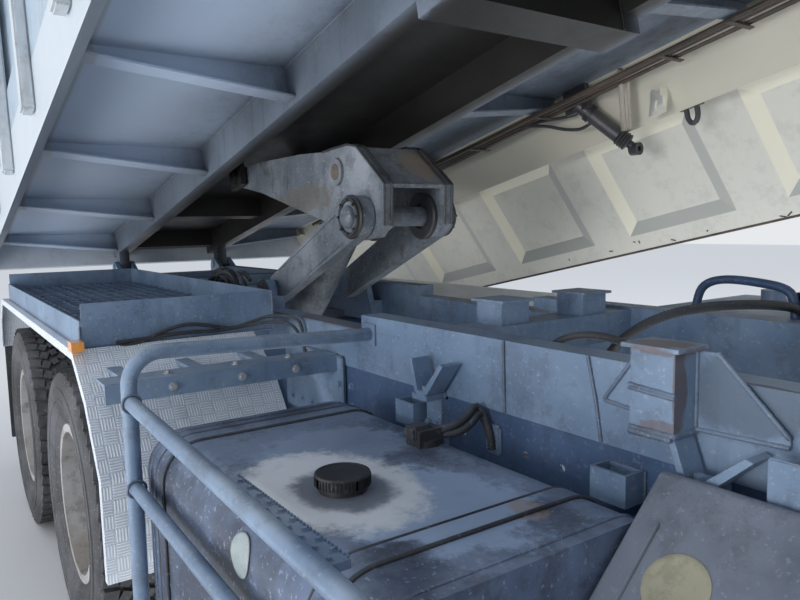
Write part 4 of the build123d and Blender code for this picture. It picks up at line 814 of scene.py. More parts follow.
# %% Tree: blocks round a ring, in two mirrored rows
ring_tree, given, out = grow_tree("blocks_round_ring", [
    ("Count", "Int", 40), ("Radius", "Float", 0.5), ("Block", "Vector", (0.01, 0.01, 0.01)),
    ("Turn", "Float", 0.0), ("Offset", "Float", 0.0), ("Half Step", "Float", 0.0)])
t = ring_tree
rows = put(t, "GeometryNodeJoinGeometry")
for way in (-1, 1):
    circle = put(t, "GeometryNodeMeshCircle", {"Vertices": given["Count"], "Radius": given["Radius"]})
    spun = put(t, "CombineXYZ", {2: times(t, given["Half Step"], way * 0.5)})
    sent = put(t, "CombineXYZ", {2: times(t, given["Offset"], way)})
    moved = put(t, "GeometryNodeTransform", {
        "Geometry": circle.outputs[0], "Translation": sent.outputs[0], "Rotation": spun.outputs[0]})
    spot = put(t, "GeometryNodeInputPosition").outputs[0]
    flat_spot = put(t, "VectorMath", {0: spot, 1: (1, 1, 0)}, operation="MULTIPLY").outputs[0]
    outward = put(t, "FunctionNodeAlignRotationToVector", {"Vector": flat_spot},
                  axis="X", pivot_axis="Z").outputs[0]
    own_turn = put(t, "CombineXYZ", {0: times(t, given["Turn"], way)})
    twist = put(t, "FunctionNodeEulerToRotation", {0: own_turn.outputs[0]}).outputs[0]
    final = put(t, "FunctionNodeRotateRotation", {0: outward, 1: twist}, rotation_space="LOCAL").outputs[0]
    lug = put(t, "GeometryNodeMeshCube", {"Size": given["Block"]})
    stood = put(t, "GeometryNodeInstanceOnPoints", {
        "Points": moved.outputs[0], "Instance": lug.outputs[0], "Rotation": final})
    t.links.new(stood.outputs[0], rows.inputs[0])
close_tree(t, rows.outputs[0], given, out)


def ring_of_blocks(centre, axis, count, radius, block, turn=0.0, offset=0.0, half_step=0.0):
    """Blocks round a ring at a place; a block's size is radial, round and along, in millimetres."""
    empty = bpy.data.meshes.new("empty")
    shift_round = {"Half Step": half_step * 2 * math.pi / count}
    mesh = grown(ring_tree, empty, Count=count, Radius=radius / 1000, Block=[b / 1000 for b in block],
                 Turn=math.radians(turn), Offset=offset / 1000, **shift_round)
    mesh.transform(Matrix.Translation(centre) @ Vector(axis).to_track_quat("Z", "Y").to_matrix().to_4x4())
    return mesh


print("trees ready", [t.name for t in (tube_tree, fastener_tree, ring_tree)])

# %% [markdown]
# ## Tyres with real tread
# The solid tyre goes out to the tips of its tread, so a tread can't be added on top of it. Each tyre is
# turned again with its base 15 mm lower, and the lugs stand on that base: wide ones on the shoulders and
# slanted ones in the middle. Three fine rings mark each side wall.

# %% Tyres
axle_height, lugs = 530, 54
wheel_rows = []
for end, x, many, tracks in (("front", 2540, "", (1020,)), ("middle", -1060, "s", (1065, 725)),
                             ("rear", -2410, "s", (1065, 725))):
    for hand, side in (("left", 1), ("right", -1)):
        wheel_rows.append((f"{end}_{hand}", many, x, side, [side * y for y in tracks]))
half_tyre = [(106, 286.4), (112, 300), (118, 318), (126, 330), (134, 350), (137, 352), (139, 362), (144, 376),
             (148, 398), (151, 400), (151, 408), (149, 410), (149, 440), (151, 442), (151, 450), (147, 452),
             (143, 492), (132, 508), (112, 513), (60, 515)]
tyre_profile = half_tyre + [(-w, r) for w, r in reversed(half_tyre)] + [half_tyre[0]]
# Each row of lugs: ring radius, a lug's size, its slant, its distance from the middle, its shift round
lug_rows = ((518, (22, 43, 50), 8, 108, 0.5), (520, (18, 40, 36), 24, 60, 0.0),
            (520, (18, 34, 30), -24, 20, 0.5))
for label, many, x, side, tracks in wheel_rows:
    parts = []
    for y in tracks:
        centre = at(x, y, axle_height)
        parts.append(turned(tyre_profile, centre, (0, 1, 0), steps=84))
        parts += [ring_of_blocks(centre, (0, 1, 0), lugs, *row) for row in lug_rows]
    tread = ready(f"tread_{label}", together(parts), f"{label}_wheel{many}", "tyre", smooth=40)
    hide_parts(f"tyre{many}_{label}")
print("tyres", sum(len(row[-1]) for row in wheel_rows))

# %% [markdown]
# ## Wheel nuts
# Ten nuts hold each wheel, and the rear hubs also have a ring of small bolts on their cap.

# %% Wheel nuts and hub bolts
def bolt_circle(x, y, side, count, radius):
    """Points round a wheel's axis that look outwards."""
    angles = [2 * math.pi * k / count for k in range(count)]
    return [(at(x + radius * math.cos(a), y, axle_height + radius * math.sin(a)), (0, side, 0))
            for a in angles]


for label, many, x, side, tracks in wheel_rows:
    front = len(tracks) == 1
    disc_y, hub_y = (1134, 1160) if front else (907, 1125)
    cap = turned([(0, 44), (10, 42), (16, 34), (18, 0.5)], at(x, side * hub_y, axle_height), (0, side, 0), 28)
    nuts = [fasteners(bolt_circle(x, side * disc_y, side, 10, 141), 15, 22, 20),
            fasteners(bolt_circle(x, side * hub_y, side, 8, 58), 8, 8, 11), cap]
    if not front:
        nuts.append(fasteners(bolt_circle(x, side * 1101, side, 10, 92), 9, 9, 13))
    ready(f"nuts_{label}", together(nuts), f"{label}_wheel{many}", "rim", "rusty_head")

# %% [markdown]
# ## Fuel tank
# The tank is rolled steel with welded ends, and two straps press rubber against it. The strap edges show as
# dark lines. Its cap has a ribbed grip, and the level sender has a plug with a ribbed sleeve to the frame.

# %% Strap rubbers, end seams and the cap
def tank_line(x, out=0.0, steps=8):
    """Points round the tank's section at one x, a little outside its skin."""
    low_y, high_y, low_z, high_z, corner = -1150.0 - out, -495.0 + out, 480.0 - out, 1030.0 + out, 100.0 + out
    points = []
    for cy, cz, first in ((high_y - corner, high_z - corner, 0), (low_y + corner, high_z - corner, 90),
                          (low_y + corner, low_z + corner, 180), (high_y - corner, low_z + corner, 270)):
        for k in range(steps + 1):
            angle = math.radians(first + 90 * k / steps)
            points.append(at(x, cy + corner * math.cos(angle), cz + corner * math.sin(angle)))
    return points + points[:1]


rubbers = tubes([tank_line(x + way * 29, 3.0) for x in (40, 880) for way in (-1, 1)], 4.6, gap=14, sides=8)
ready("strap_rubbers", rubbers, "chassis", "black_plastic", "hose_rubber", 60)
seams = tubes([tank_line(x, 0.5) for x in (-48, 1016)], 3.4, gap=10, uneven=0.25, sides=6)
ready("tank_seams", seams, "chassis", "tank_black", None, 60)
cap_place = at(587, -926, 1044)
grip = ring_of_blocks(cap_place + Vector((0, 0, 0.01)), (0, 0, 1), 44, 58, (3.2, 4.0, 19), 0)
lid_profile = [(0, 57), (22, 58.5), (25, 56), (25, 50), (21.5, 47), (21.5, 15), (24, 12), (24, 0.5)]
lid = turned(lid_profile, cap_place, (0, 0, 1), 44)
ready("cap_grip", together([grip, lid]), "chassis", "black_plastic", None, 30)

# %% The sender's plug, its ribbed sleeve and the plate on the rail
plug = blocks([((415, -652, 1044), (462, -596, 1080)), ((420, -600, 1050), (470, -570, 1070))], edge=5)
ready("sender_plug", plug, "chassis", "black_plastic", "hose_rubber")
hoses("sender_sleeves", [
    bent((455, -590, 1062), (478, -560, 1066), (488, -510, 1085), (470, -465, 1110), (478, -450, 1098),
         (500, -447, 1060), (503, -445, 1030)),
    bent((452, -580, 1052), (490, -548, 1050), (498, -500, 1072), (482, -462, 1092), (488, -448, 1075),
         (512, -446, 1035), (512, -445, 1000)),
], 9.5, gap=5, ripple=0.16, sides=12)
ready("sender_plate", blocks([((482, -438, 985), (536, -430, 1062))], edge=6), "chassis", "chassis_paint")

# %% A blank disc laid on the tank's rounded shoulder
bend_y, bend_z, bend_radius = -1050, 930, 101.2


def shoulder(x, arc):
    """A point on the tank's side; arc runs up the flat and on round the shoulder."""
    if arc < 0:
        return at(x, bend_y - bend_radius, bend_z + arc)
    angle = arc / bend_radius
    return at(x, bend_y - bend_radius * math.cos(angle), bend_z + bend_radius * math.sin(angle))


shape = bmesh.new()
disc_x, disc_arc, disc_steps = 572, 16, 40
hub_vertex = shape.verts.new(shoulder(disc_x, disc_arc))
rings = []
for radius in (14, 28, 40, 44):
    angles = [a * math.pi * 2 / disc_steps for a in range(disc_steps)]
    ring = [shoulder(disc_x + radius * math.cos(a), disc_arc + radius * math.sin(a)) for a in angles]
    rings.append([shape.verts.new(spot) for spot in ring])
for a in range(disc_steps):
    shape.faces.new((hub_vertex, rings[0][a], rings[0][(a + 1) % disc_steps]))
skin(shape, rings)
disc_piece = ready("tank_disc", as_mesh(shape), "chassis", "tank_black", "pale_disc")
thicken(disc_piece, 1.6).offset = 1
print("tank dressed")

# %% [markdown]
# ## Frame and subframe
# Welders joined the subframe's plates with beads that still show under the paint, and bolted the brackets to
# the rails. The beads are rippled tubes along the joints, and one tree sets every bolt head.

# %% Weld beads on the subframe and its posts
bead_paths = (
    ((552, 436.5, 1102), (548, 436.5, 1284)),
    ((815, 436.5, 1284), (838, 436.5, 1190), (853, 436.5, 1102)),
    ((867, 444, 1199), (982, 444, 1189)),
    ((867, 444, 1202), (943, 444, 1304)),
    ((1078, 444, 1185), (1251, 444, 1191)),
    ((1118, 444, 1334), (1251, 444, 1206)),
    ((982, 444, 1190), (982, 444, 1336)),
    ((1078, 444, 1190), (1078, 444, 1336)),
    ((980, 513, 1258), (1080, 513, 1252)),
    ((980, 513, 1264), (1080, 513, 1257)),
    ((980, 440, 1183), (1000, 470, 1182), (1060, 480, 1182), (1080, 440, 1183)),
    ((-245, 444, 1125), (-245, 444, 880)),
    ((-700, 444, 1126), (-245, 444, 1126)),
)
bead_rows = [[at(x, side * y, z) for x, y, z in path] for side in (-1, 1) for path in bead_paths]
beads("subframe_beads", bead_rows, 3.6, 3)
foot_ring = [at(982, -446, 1181), at(984, -512, 1181), at(1076, -512, 1181), at(1078, -446, 1181)]
second_run = [spot + Vector((0, -0.004, -0.006)) for spot in foot_ring[1:3]]
beads("post_foot_beads", [foot_ring, second_run], 5.0, 8)

# %% Beads and bolts of the guide brackets
horns = ((-1, 285, 1110), (-1, 1110, 1095), (1, 180, 1110), (1, 1110, 1095))
bracket_beads, bracket_bolts = [], []
for side, x, base in horns:
    bracket_beads.append([at(x - 34, side * 436, base - 16), at(x + 34, side * 436, base - 16)])
    bracket_beads += [[at(x + dx, side * y, base + 1) for y in (447, 507)] for dx in (-18, 30)]
    bracket_bolts += [(at(x + dx, side * 456, z), (0, side, 0)) for z in (945, 1020) for dx in (-17, 17)]
    bracket_bolts.append((at(x + 5, side * 485, base + 9), (0, 0, 1)))
for side, x in ((-1, 190), (-1, 915), (1, -20)):
    bracket_beads += [[at(x + dx, side * 432, z) for z in (1000, 1068)] for dx in (-47, 47)]
beads("bracket_beads", bracket_beads, 3.2, 5)
ready("bracket_bolts", fasteners(bracket_bolts, 12, 10, 17), "chassis", "chassis_paint")

# %% Bolt rows on the rails and the fish plates, and pale bolts on the wing brackets
web_y, plate_y = 431, 444
rail_bolts, pale_bolts = [], []
for side in (-1, 1):
    rail_spots = [(x, web_y if not -700 < x < -245 else plate_y, z)
                  for middle in (-3480, -1735, -240, 1250)
                  for x in (middle - 30, middle + 30) for z in (890, 960, 1030)]
    rail_spots += [(x, plate_y, z) for x in (-640, -560, -480, -400, -320) for z in (920, 1070)]
    rail_bolts += [(at(x, side * y, z), (0, side, 0)) for x, y, z in rail_spots]
    for y in (600, 790, 1010):
        pale_bolts += [(at(-344, side * y, 1135), (0, 0, 1)), (at(-289, side * y, 1102), (1, 0, 0))]
ready("rail_bolts", fasteners(rail_bolts, 9, 8, 13), "chassis", "chassis_paint")
ready("wing_bolts", fasteners(pale_bolts, 9, 7, 14), "chassis", "chassis_paint", "bright_bolt")
print("bolts", len(rail_bolts) + len(pale_bolts) + len(bracket_bolts))

# %% The tread strip on the guard: two rows of raised rings and toothed edges
strip_spots = [(at(574 + 22 * k, -1168 + 17 * (k % 2), 1100), (0, 0, 1)) for k in range(19)]
teeth = [((562 + 11.5 * k, y, 1099), (568 + 11.5 * k, y + 4, 1105))
         for k in range(37) for y in (-1180, -1144)]
strip = together([fasteners(strip_spots, 4.5, 5, 7, 10), blocks(teeth, edge=1)])
ready("strip_grip", strip, "chassis", "chassis_paint")
round_turn = [k * math.pi / 8 for k in range(17)]
beads("guard_beads", [[at(-54, -1188 + 24 * math.cos(a), z + 24 * math.sin(a)) for a in round_turn]
                      for z in (1124, 894)], 3.0, 11)

# %% [markdown]
# ## Battery cover
# The cover is one moulding with soft, rounded edges. The solid's sharp ones would catch the eye, because
# this piece fills the near corner of the view. It is drawn again with its edges rounded and a blank disc.

# %% Battery cover with rounded edges, its rim, and the blank disc
shape = bmesh.new()
outline = [(-512, 480), (-512, 1118), (-532, 1118), (-1110, 572), (-1140, 530), (-1140, 480)]
ends = [[shape.verts.new(at(x, y, z)) for y, z in outline] for x in (1062, 1822)]
for ring in ends:
    shape.faces.new(ring)
skin(shape, ends)
bmesh.ops.bevel(shape, geom=shape.edges[:], offset=0.009, segments=4, affect="EDGES", profile=0.5)
lugs_behind = blocks([((x, -512, 840), (x + 100, -430, 960)) for x in (1300, 1650)])
cover = ready("cover_moulding", together([as_mesh(shape), lugs_behind]), "chassis", "cover_plastic", None, 50)
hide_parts("battery_cover")
slope_out = Vector((0, -0.546, 0.578)).normalized()
slope_up = Vector((0, 0.578, 0.546)).normalized()


def on_cover(x, up, out):
    """A point over the cover's sloping face, up from its lower edge."""
    return at(x, -1110, 572) + (slope_up * up + slope_out * out) / 1000


disc_profile = [(0, 57), (1.6, 57), (2.4, 55), (2.4, 47), (1.8, 45), (1.8, 0.5)]
disc = turned(disc_profile, on_cover(1190, 612, 0), slope_out, 48)
ready("cover_disc", disc, "chassis", "cover_plastic", "beige_disc")
ribs = blocks([((1110, 60, 0.5), (1116, 700, 5)), ((1768, 60, 0.5), (1774, 700, 5)),
               ((1110, 60, 0.5), (1774, 66, 5)), ((1210, 440, 0), (1300, 447, 3)),
               ((1225, 470, 0), (1290, 474, 3))], place=on_cover, edge=1.5)
ready("cover_ribs", ribs, "chassis", "cover_plastic")
side_plate = blocks([((1246, -506, 1060), (1420, -500, 1188))], edge=2.5)
ready("pale_side_plate", side_plate, "chassis", "chassis_paint")
print("battery cover", [round(v, 3) for v in cover.dimensions])

# %% [markdown]
# ## Hoist
# Two pins do the hoist's work. The upper one has a rusty head in a raised ring, the knee a greasy ring with a
# domed cover. They are turned shapes on the arms' own pin centres, so they ride on the arms.

# %% Pin heads, rings and covers of the hoist
upper_pin, knee_pin, foot_pin = (-740, 1798), (-535, 1610), (-1280, 1280)
knee_bolt_radius, eighth_turn = 66, 0.785


def both_pins(pin, y, profile, steps=36, outwards=1):
    """A turned shape on a pin, once on each side of the truck."""
    return [turned(profile, at(pin[0], side * y, pin[1]), (0, side * outwards, 0), steps) for side in (-1, 1)]


bolt_ways = [(knee_bolt_radius * math.cos(k * eighth_turn), knee_bolt_radius * math.sin(k * eighth_turn))
             for k in range(8)]
knee_bolts = [(at(knee_pin[0] + dx, side * 240, knee_pin[1] + dz), (0, side, 0))
              for side in (-1, 1) for dx, dz in bolt_ways]
pin_rings = both_pins(upper_pin, 163, [(0, 54), (7, 54), (10, 51), (10, 39), (0, 39), (0, 54)])
pin_heads = both_pins(upper_pin, 163, [(0, 36), (9, 36), (15, 31), (18, 0.5)])
knee_rings = both_pins(knee_pin, 220, [(0, 86), (8, 86), (12, 82), (14, 70), (14, 60), (0, 60), (0, 86)], 44)
knee_rings += both_pins(knee_pin, 235, [(0, 75), (5, 75), (5, 62), (0, 62), (0, 75)], 44)
knee_rings.append(fasteners(knee_bolts, 6, 7, 8))
knee_covers = both_pins(knee_pin, 234, [(0, 44), (10, 44), (20, 38), (27, 24), (29, 0.5)])
bosses = both_pins(knee_pin, 126, [(0, 96), (14, 96), (20, 90), (20, 52), (0, 52), (0, 96)], 44, outwards=-1)
foot_heads = both_pins(foot_pin, 275, [(0, 52), (8, 52), (12, 48), (12, 30), (16, 27), (18, 0.5)])
ready("upper_pin_rings", together(pin_rings), "hoist_upper", "body_paint", "hoist_grey")
ready("upper_pin_heads", together(pin_heads), "hoist_upper", "body_paint", "rusty_head")
ready("knee_rings", together(knee_rings), "hoist_lower", "body_paint", "grease")
ready("knee_covers", together(knee_covers), "hoist_lower", "body_paint", "hoist_grey")
ready("knee_bosses", together(bosses), "hoist_upper", "body_paint", "grease")
ready("foot_heads", together(foot_heads), "chassis", "chassis_paint", "grease")

# %% Beads along the edges of the hoist's cross plate
plate_edge = [(-860, 1890), (-660, 1901), (-586, 1887), (-391, 1732), (-397, 1575)]
edge_runs = [[at(x + 2, side * y, z + 1) for x, z in plate_edge] for side in (-1, 1) for y in (163, 127)]
beads("hoist_beads", edge_runs, 4.2, 21, "hoist_upper", "body_paint", "grease")
arm_start, arm_end = (-1200, 1315), (-640, 1563)
arm_runs = [[at(x - 25 * way, side * 221, z + 56 * way) for x, z in (arm_start, arm_end)]
            for side in (-1, 1) for way in (-1, 1)]
beads("arm_beads", arm_runs, 2.6, 22, "hoist_lower", "body_paint", "hoist_grey")
print("hoist dressed")

# %% [markdown]
# ## Under the body
# Brake and oil pipes run the length of the body under the left outriggers, held by clips. The outriggers are
# welded to the long beams, and the short gate cylinder hangs by the left side rail with its rubber boot.

# %% Pipes and clips under the left outriggers
def under_outrigger(y):
    """Height over the hinge of an outrigger's lower edge, which rises by 78 from the beam to its tip."""
    beam_y, low_edge, rise, reach = 396, 130, 78, 736
    return low_edge + (y - beam_y) * rise / reach


dice = random.Random(7)
pipe_rows = []
for k, (y, radius) in enumerate(((905, 12), (932, 9), (958, 11), (986, 8), (1014, 12), (1040, 10))):
    knots = [on_body(s, y + dice.uniform(-5, 5), under_outrigger(y) - radius - 3 - dice.uniform(0, 5))
             for s in range(620, 5400, 340)]
    pipe_rows.append((smooth_line(knots), radius, "worn_link" if k == 3 else "rusty_pipe"))
for k, (run, radius, finish) in enumerate(pipe_rows):
    pipe = tubes([run], radius, gap=40, sides=8)
    ready(f"body_pipe_{k + 1}", pipe, "tipping_body", "dark_steel", finish, 60)
clips = []
drop = under_outrigger(970) - 24
for s in (970, 1475, 1980, 2485, 2990, 3700, 4000, 4500, 5010):
    clips += [((s + 12, 890, drop - 9), (s + 34, 1056, drop - 4)),
              ((s + 12, 968, drop - 9), (s + 34, 974, drop + 30))]
ready("pipe_clips", blocks(clips, place=on_body, edge=1), "tipping_body", "dark_steel", "rusty_pipe")

# %% Beads where outriggers and cross pieces meet the beams
floor_runs = []
for s in range(-46, 5050, 1010):
    for side in (-1, 1):
        floor_runs.append([on_body(s, side * 401, 134), on_body(s, side * 401, 266)])
        floor_runs.append([on_body(s, side * 402, 266), on_body(s, side * 1130, 266)])
for side in (-1, 1):
    floor_runs.append([on_body(-100, side * 401, 266), on_body(5600, side * 401, 266)])
    floor_runs += [[on_body(s, side * 318, 60), on_body(s, side * 318, 262)] for s in (3838, 3992)]
beads("floor_beads", floor_runs, 4.0, 31, "tipping_body", "body_paint", None)

# %% Gate cylinder: boot, eye, link bar and hoses
foot, tip = on_body(3150, 1065, 190), on_body(3259, 1190, 3)
way = (tip - foot).normalized()
folds = [(6 + 7 * k, 44 if k % 2 else 38) for k in range(9)]
boot = turned([(0, 36)] + folds + [(66, 20), (92, 20), (92, 0.5)], foot + way * 0.245, way, 28)
collar = turned([(0, 44), (26, 44), (26, 36.2), (0, 36.2), (0, 44)], foot + way * 0.06, way, 28)
eye = turned([(-22, 30), (-22, 13), (22, 13), (22, 30), (-22, 30)], foot + way * 0.352, (1, 0, 0), 24)
ready("cylinder_boot", together([boot, collar, eye]), "tipping_body", "dark_steel", "grease", 50)
link_bar = together([tubes([[on_body(3455, 1010, 232), on_body(3330, 1140, 4)]], 13, gap=60, sides=10),
                     tubes([[on_body(3475, 1035, 232), on_body(3352, 1160, 10)]], 8, gap=60, sides=8)])
ready("gate_link_bar", link_bar, "tipping_body", "dark_steel", "worn_link", 60)
gate_hoses = tubes([
    bent((2860, 958, 170), (2980, 990, 140), (3060, 1050, 90), (3140, 1110, 70), (3205, 1120, 110),
         place=on_body),
    bent((2900, 986, 172), (3000, 1010, 160), (3090, 1080, 150), (3160, 1110, 160), place=on_body),
], 8, gap=8, sides=8)
ready("gate_hoses", gate_hoses, "tipping_body", "dark_steel", "hose_rubber", 60)

# %% The slotted ear with its loop, and the bent flap beside it
ear_angles = [k * math.pi / 12 for k in range(25)]
ear_loop = [on_body(3605 + 26 * math.cos(a), 1262, 4 + 44 * math.sin(a) + (26 if math.sin(a) > 0 else -10))
            for a in ear_angles]
ear_plates = blocks([((3560, 1251, 40), (3650, 1273, 250)), ((3480, 1130, 236), (3690, 1270, 252))],
                    place=on_body, edge=4)
ear = together([tubes([ear_loop], 12, gap=14, sides=8), ear_plates])
ready("slotted_ear", ear, "tipping_body", "dark_steel", "grease", 50)
shape = bmesh.new()
grid = []
for j in range(4):
    row = [on_body(3462 + 30 * i + 9 * (j % 2), 1150 + 10 * ((i + j) % 3) + 12 * j, 20 + 74 * j - 8 * (i % 2))
           for i in range(4)]
    grid.append([shape.verts.new(spot) for spot in row])
skin(shape, grid, closed=False)
thicken(ready("bent_flap", as_mesh(shape), "tipping_body", "gate_cream", None, 20), 4)
print("pipes", len(pipe_rows), "clips", len(clips))

# %% [markdown]
# ## Gate
# The open side gate is a pressed cream sheet. A rolled bead closes its free edge, where the paint has gone,
# and its hinges carry straps with two bolts each.

# %% Gate edge, hinge straps and bolts
gate_pin_y, gate_pin_h = 1268, 245


def on_gate(s, y, h):
    """A point of the side gate, given as if it were closed, at its open place."""
    dy, dh = y - gate_pin_y, h - gate_pin_h
    return on_body(s, gate_pin_y + dy * swing_cos - dh * swing_sin,
                   gate_pin_h + dy * swing_sin + dh * swing_cos)


edge_bead = tubes([[on_gate(s, 1246, 1124) for s in range(-40, 5640, 80)]], 8, gap=60, sides=8)
ready("gate_edge", edge_bead, "side_gate", "gate_cream", "rusty_pipe", 60)
strap_rows, strap_bolts = [], []
for s in (250, 1350, 2450, 4450, 5380):
    strap_rows.append(((s - 24, 1250, 300), (s + 24, 1258, 440)))
    strap_bolts += [(on_gate(s, 1258, h), on_gate(s, 1300, h) - on_gate(s, 1258, h)) for h in (370, 415)]
ready("gate_straps", together([blocks(strap_rows, place=on_gate, edge=2), fasteners(strap_bolts, 9, 8, 14)]),
      "side_gate", "gate_cream")
scuffs = []
for k in range(26):
    s, h = dice.uniform(2300, 5300), dice.choice((dice.uniform(310, 440), dice.uniform(1050, 1110)))
    scuffs.append([on_gate(s, 1251, h), on_gate(s + dice.uniform(-30, 40), 1251, h + dice.uniform(-18, 18))])
scuff_lines = tubes(scuffs, 2.4, gap=6, uneven=0.9, sides=5)
ready("gate_scuffs", scuff_lines, "side_gate", "gate_cream", "rusty_pipe", 60)

# %% [markdown]
# ## Tray and its cables
# Thin rods close the tray's grating crosswise. A pair of cables sags along the front wall and turns down
# behind the guard.

# %% Cross rods, corner beads and cables of the tray
rods = [[at(x, -1192, 1260), at(x, -524, 1260)] for x in range(-2740, -660, 116)]
ready("tray_rods", tubes(rods, 1.8, gap=400, sides=6), "chassis", "chassis_paint", None, 60)
tray_runs = [[at(-649, -516, 1192), at(-649, -516, 1336)], [at(-649, -1200, 1192), at(-649, -1200, 1262)],
             [at(-648, -1196, 1191), at(-648, -520, 1191)], [at(-2740, -1201, 1192), at(-660, -1201, 1192)]]
beads("tray_beads", tray_runs, 3.0, 41)
hoses("tray_cables", [
    bent((-690, -1160, 1186), (-641, -1110, 1180), (-640, -1010, 1192), (-640, -930, 1226),
         (-640, -850, 1243), (-640, -760, 1226), (-640, -690, 1206), (-640, -620, 1222),
         (-622, -560, 1244), (-585, -500, 1247), (-540, -458, 1232),
         (-524, -452, 1180), (-518, -452, 1110), (-500, -452, 1040)),
    bent((-641, -1090, 1200), (-640, -980, 1204), (-640, -860, 1212), (-640, -740, 1204), (-636, -640, 1214),
         (-600, -540, 1226), (-552, -466, 1214), (-536, -453, 1150)),
], 6.5, gap=10)

# %% Hoses in a heap behind the hoist's foot
heap = []
for k in range(13):
    y = -318 + 6 * k if k < 12 else -300
    turn = dice.uniform(0, 6.28)
    cx, cz = -1700 + dice.uniform(-150, 130), 1262 + dice.uniform(-14, 14)
    wide, high = 150 + 18 * (k % 3), 82 + 6 * (k % 4)
    heap.append(smooth_line([
        at(cx + wide * math.cos(turn + a), y + dice.uniform(-6, 6), cz + high * math.sin(turn + a))
        for a in [i * 0.7 for i in range(8)]]))
hoses("hose_heap", heap, 9.5, gap=10)

# %% Left side: oil pipe, relay box and the ribbed hose
oil_run = bent((470, 500, 1268), (478, 500, 1330), (505, 500, 1368), (570, 500, 1386),
               (680, 500, 1380), (770, 500, 1366), (792, 500, 1330), (795, 500, 1270))
# The oil pipe wears the rails' darkened blue, which is painted shade.
ready("oil_pipe", tubes([oil_run], 14, gap=14, sides=10), "chassis", "tank_black", "rail_blue_in_painted_shade", 60)
relay_box = blocks([((770, 520, 1274), (860, 600, 1352)), ((782, 532, 1350), (848, 588, 1362))], edge=6)
ready("relay_box", relay_box, "chassis", "black_plastic")
hoses("ribbed_hose", [bent((495, 20, 1172), (535, 10, 1224), (600, 5, 1270), (656, 10, 1306), (715, 60, 1334),
                           (770, 170, 1344), (806, 340, 1334), (815, 480, 1312), (815, 545, 1276))],
      12, gap=5, ripple=0.16, sides=12)
hoses("black_hose", [bent((600, -330, 1262), (640, -325, 1290), (700, -300, 1306), (770, -250, 1290),
                          (820, -170, 1230), (840, -120, 1170))], 10, gap=12, sides=10)
print("tray, heap and left side ready")

# %% [markdown]
# ## Cab
# The photograph stands behind the cab, so the cab is finished from its type: rubber round the glass, wipers,
# a visor, handles, treads, lamp rings and a blank plate. Its seats are padded, with seams.

# %% Rubber seals, wipers, visor, handles and plate of the cab
def screen_point(across, up):
    """A point just outside the windscreen's plane; up runs from its lower edge."""
    spot = Vector((3966, 0, 1962)) + Vector((-340, 0, 900)).normalized() * up
    return at(spot.x, across, spot.z)


seal = [screen_point(y, u) for y, u in ((-1028, 82), (1028, 82), (1028, 880), (-1028, 880), (-1028, 82))]
back_seal = [at(2288, y, z) for y, z in ((-470, 1960), (470, 1960), (470, 2460), (-470, 2460), (-470, 1960))]
ready("screen_seal", tubes([seal, back_seal], 9, gap=60, sides=8), "cab", "black_plastic", "hose_rubber", 60)
door_edge = ((2840, 1960), (3600, 1960), (3370, 2560), (2840, 2560), (2840, 1960))
for hand, side in (("right", -1), ("left", 1)):
    handle = blocks([((2800, side * 1213 - 6, 1486), (2924, side * 1213 + 6, 1514)),
                     ((2800, side * 1200 - 12, 1490), (2816, side * 1200 + 12, 1510))], edge=4)
    trim = together([tubes([[at(x, side * 1192, z) for x, z in door_edge]], 8, gap=60, sides=8), handle])
    ready(f"door_trim_{hand}", trim, f"{hand}_door", "black_plastic", "hose_rubber", 60)
wipers = []
for y in (-620, 180):
    wipers.append([screen_point(y, 40), screen_point(y + 260, 150)])
    wipers.append([screen_point(y + 20, 130), screen_point(y + 620, 190)])
ready("wipers", tubes(wipers, 7, gap=40, sides=6), "cab", "black_plastic", None, 60)
ready("cab_visor", blocks([((3560, -1120, 2800), (3700, 1120, 2818))], edge=6), "cab", "black_plastic")
steps = both_sides((3390, 3620), (1060, 1200), (498, 508))
steps += both_sides((3340, 3650), (1040, 1200), (871, 877))
ready("step_treads", blocks(steps, edge=2), "chassis", "chequer")
front_plate = blocks([((3961, -260, 985), (3967, 260, 1060))], edge=2)
ready("front_plate", front_plate, "cab", "cab_white", "pale_disc")
rail_knots = ((1192, 1300), (1222, 1310), (1226, 1360), (1226, 1640), (1226, 1700),
              (1222, 1740), (1192, 1750))
rails = [smooth_line([at(2715, side * y, z) for y, z in rail_knots]) for side in (-1, 1)]
ready("grab_rails", tubes(rails, 11, gap=20, sides=10), "cab", "black_plastic", None, 60)
mirror_glass = blocks(both_sides((3728, 3735), (1338, 1442), (1762, 2218)), edge=2)
ready("mirror_glass", mirror_glass, "cab", "black_plastic", "chrome_rod")

# %% Lamp rings, and the covers of the rear lamps
lamp_rings = []
for side in (-1, 1):
    for x, y, r in ((3985, 930, 62), (3961, 1060, 50)):
        lamp_rings.append(turned([(0, r), (10, r), (12, r - 3), (4, r - 10), (0, r - 12), (0, r)],
                                 at(x, side * y, 580), (1, 0, 0), 28))
ready("lamp_rings", together(lamp_rings), "chassis", "lamp_lens", "chrome_rod")
lamp_bars = [((-3764, y - 3, 508), (-3758, y + 3, 622)) for side in (-1, 1)
             for y in (side * 975 - 70, side * 975, side * 975 + 66)]
ready("rear_lamp_bars", blocks(lamp_bars, edge=1), "chassis", "lamp_lens", "black_plastic")

# %% Padded seats: crowned cushions that cover the plain seat blocks
corner_pull, seam_place, seam_half_width, seam_depth = 0.035, 0.28, 0.06, 9


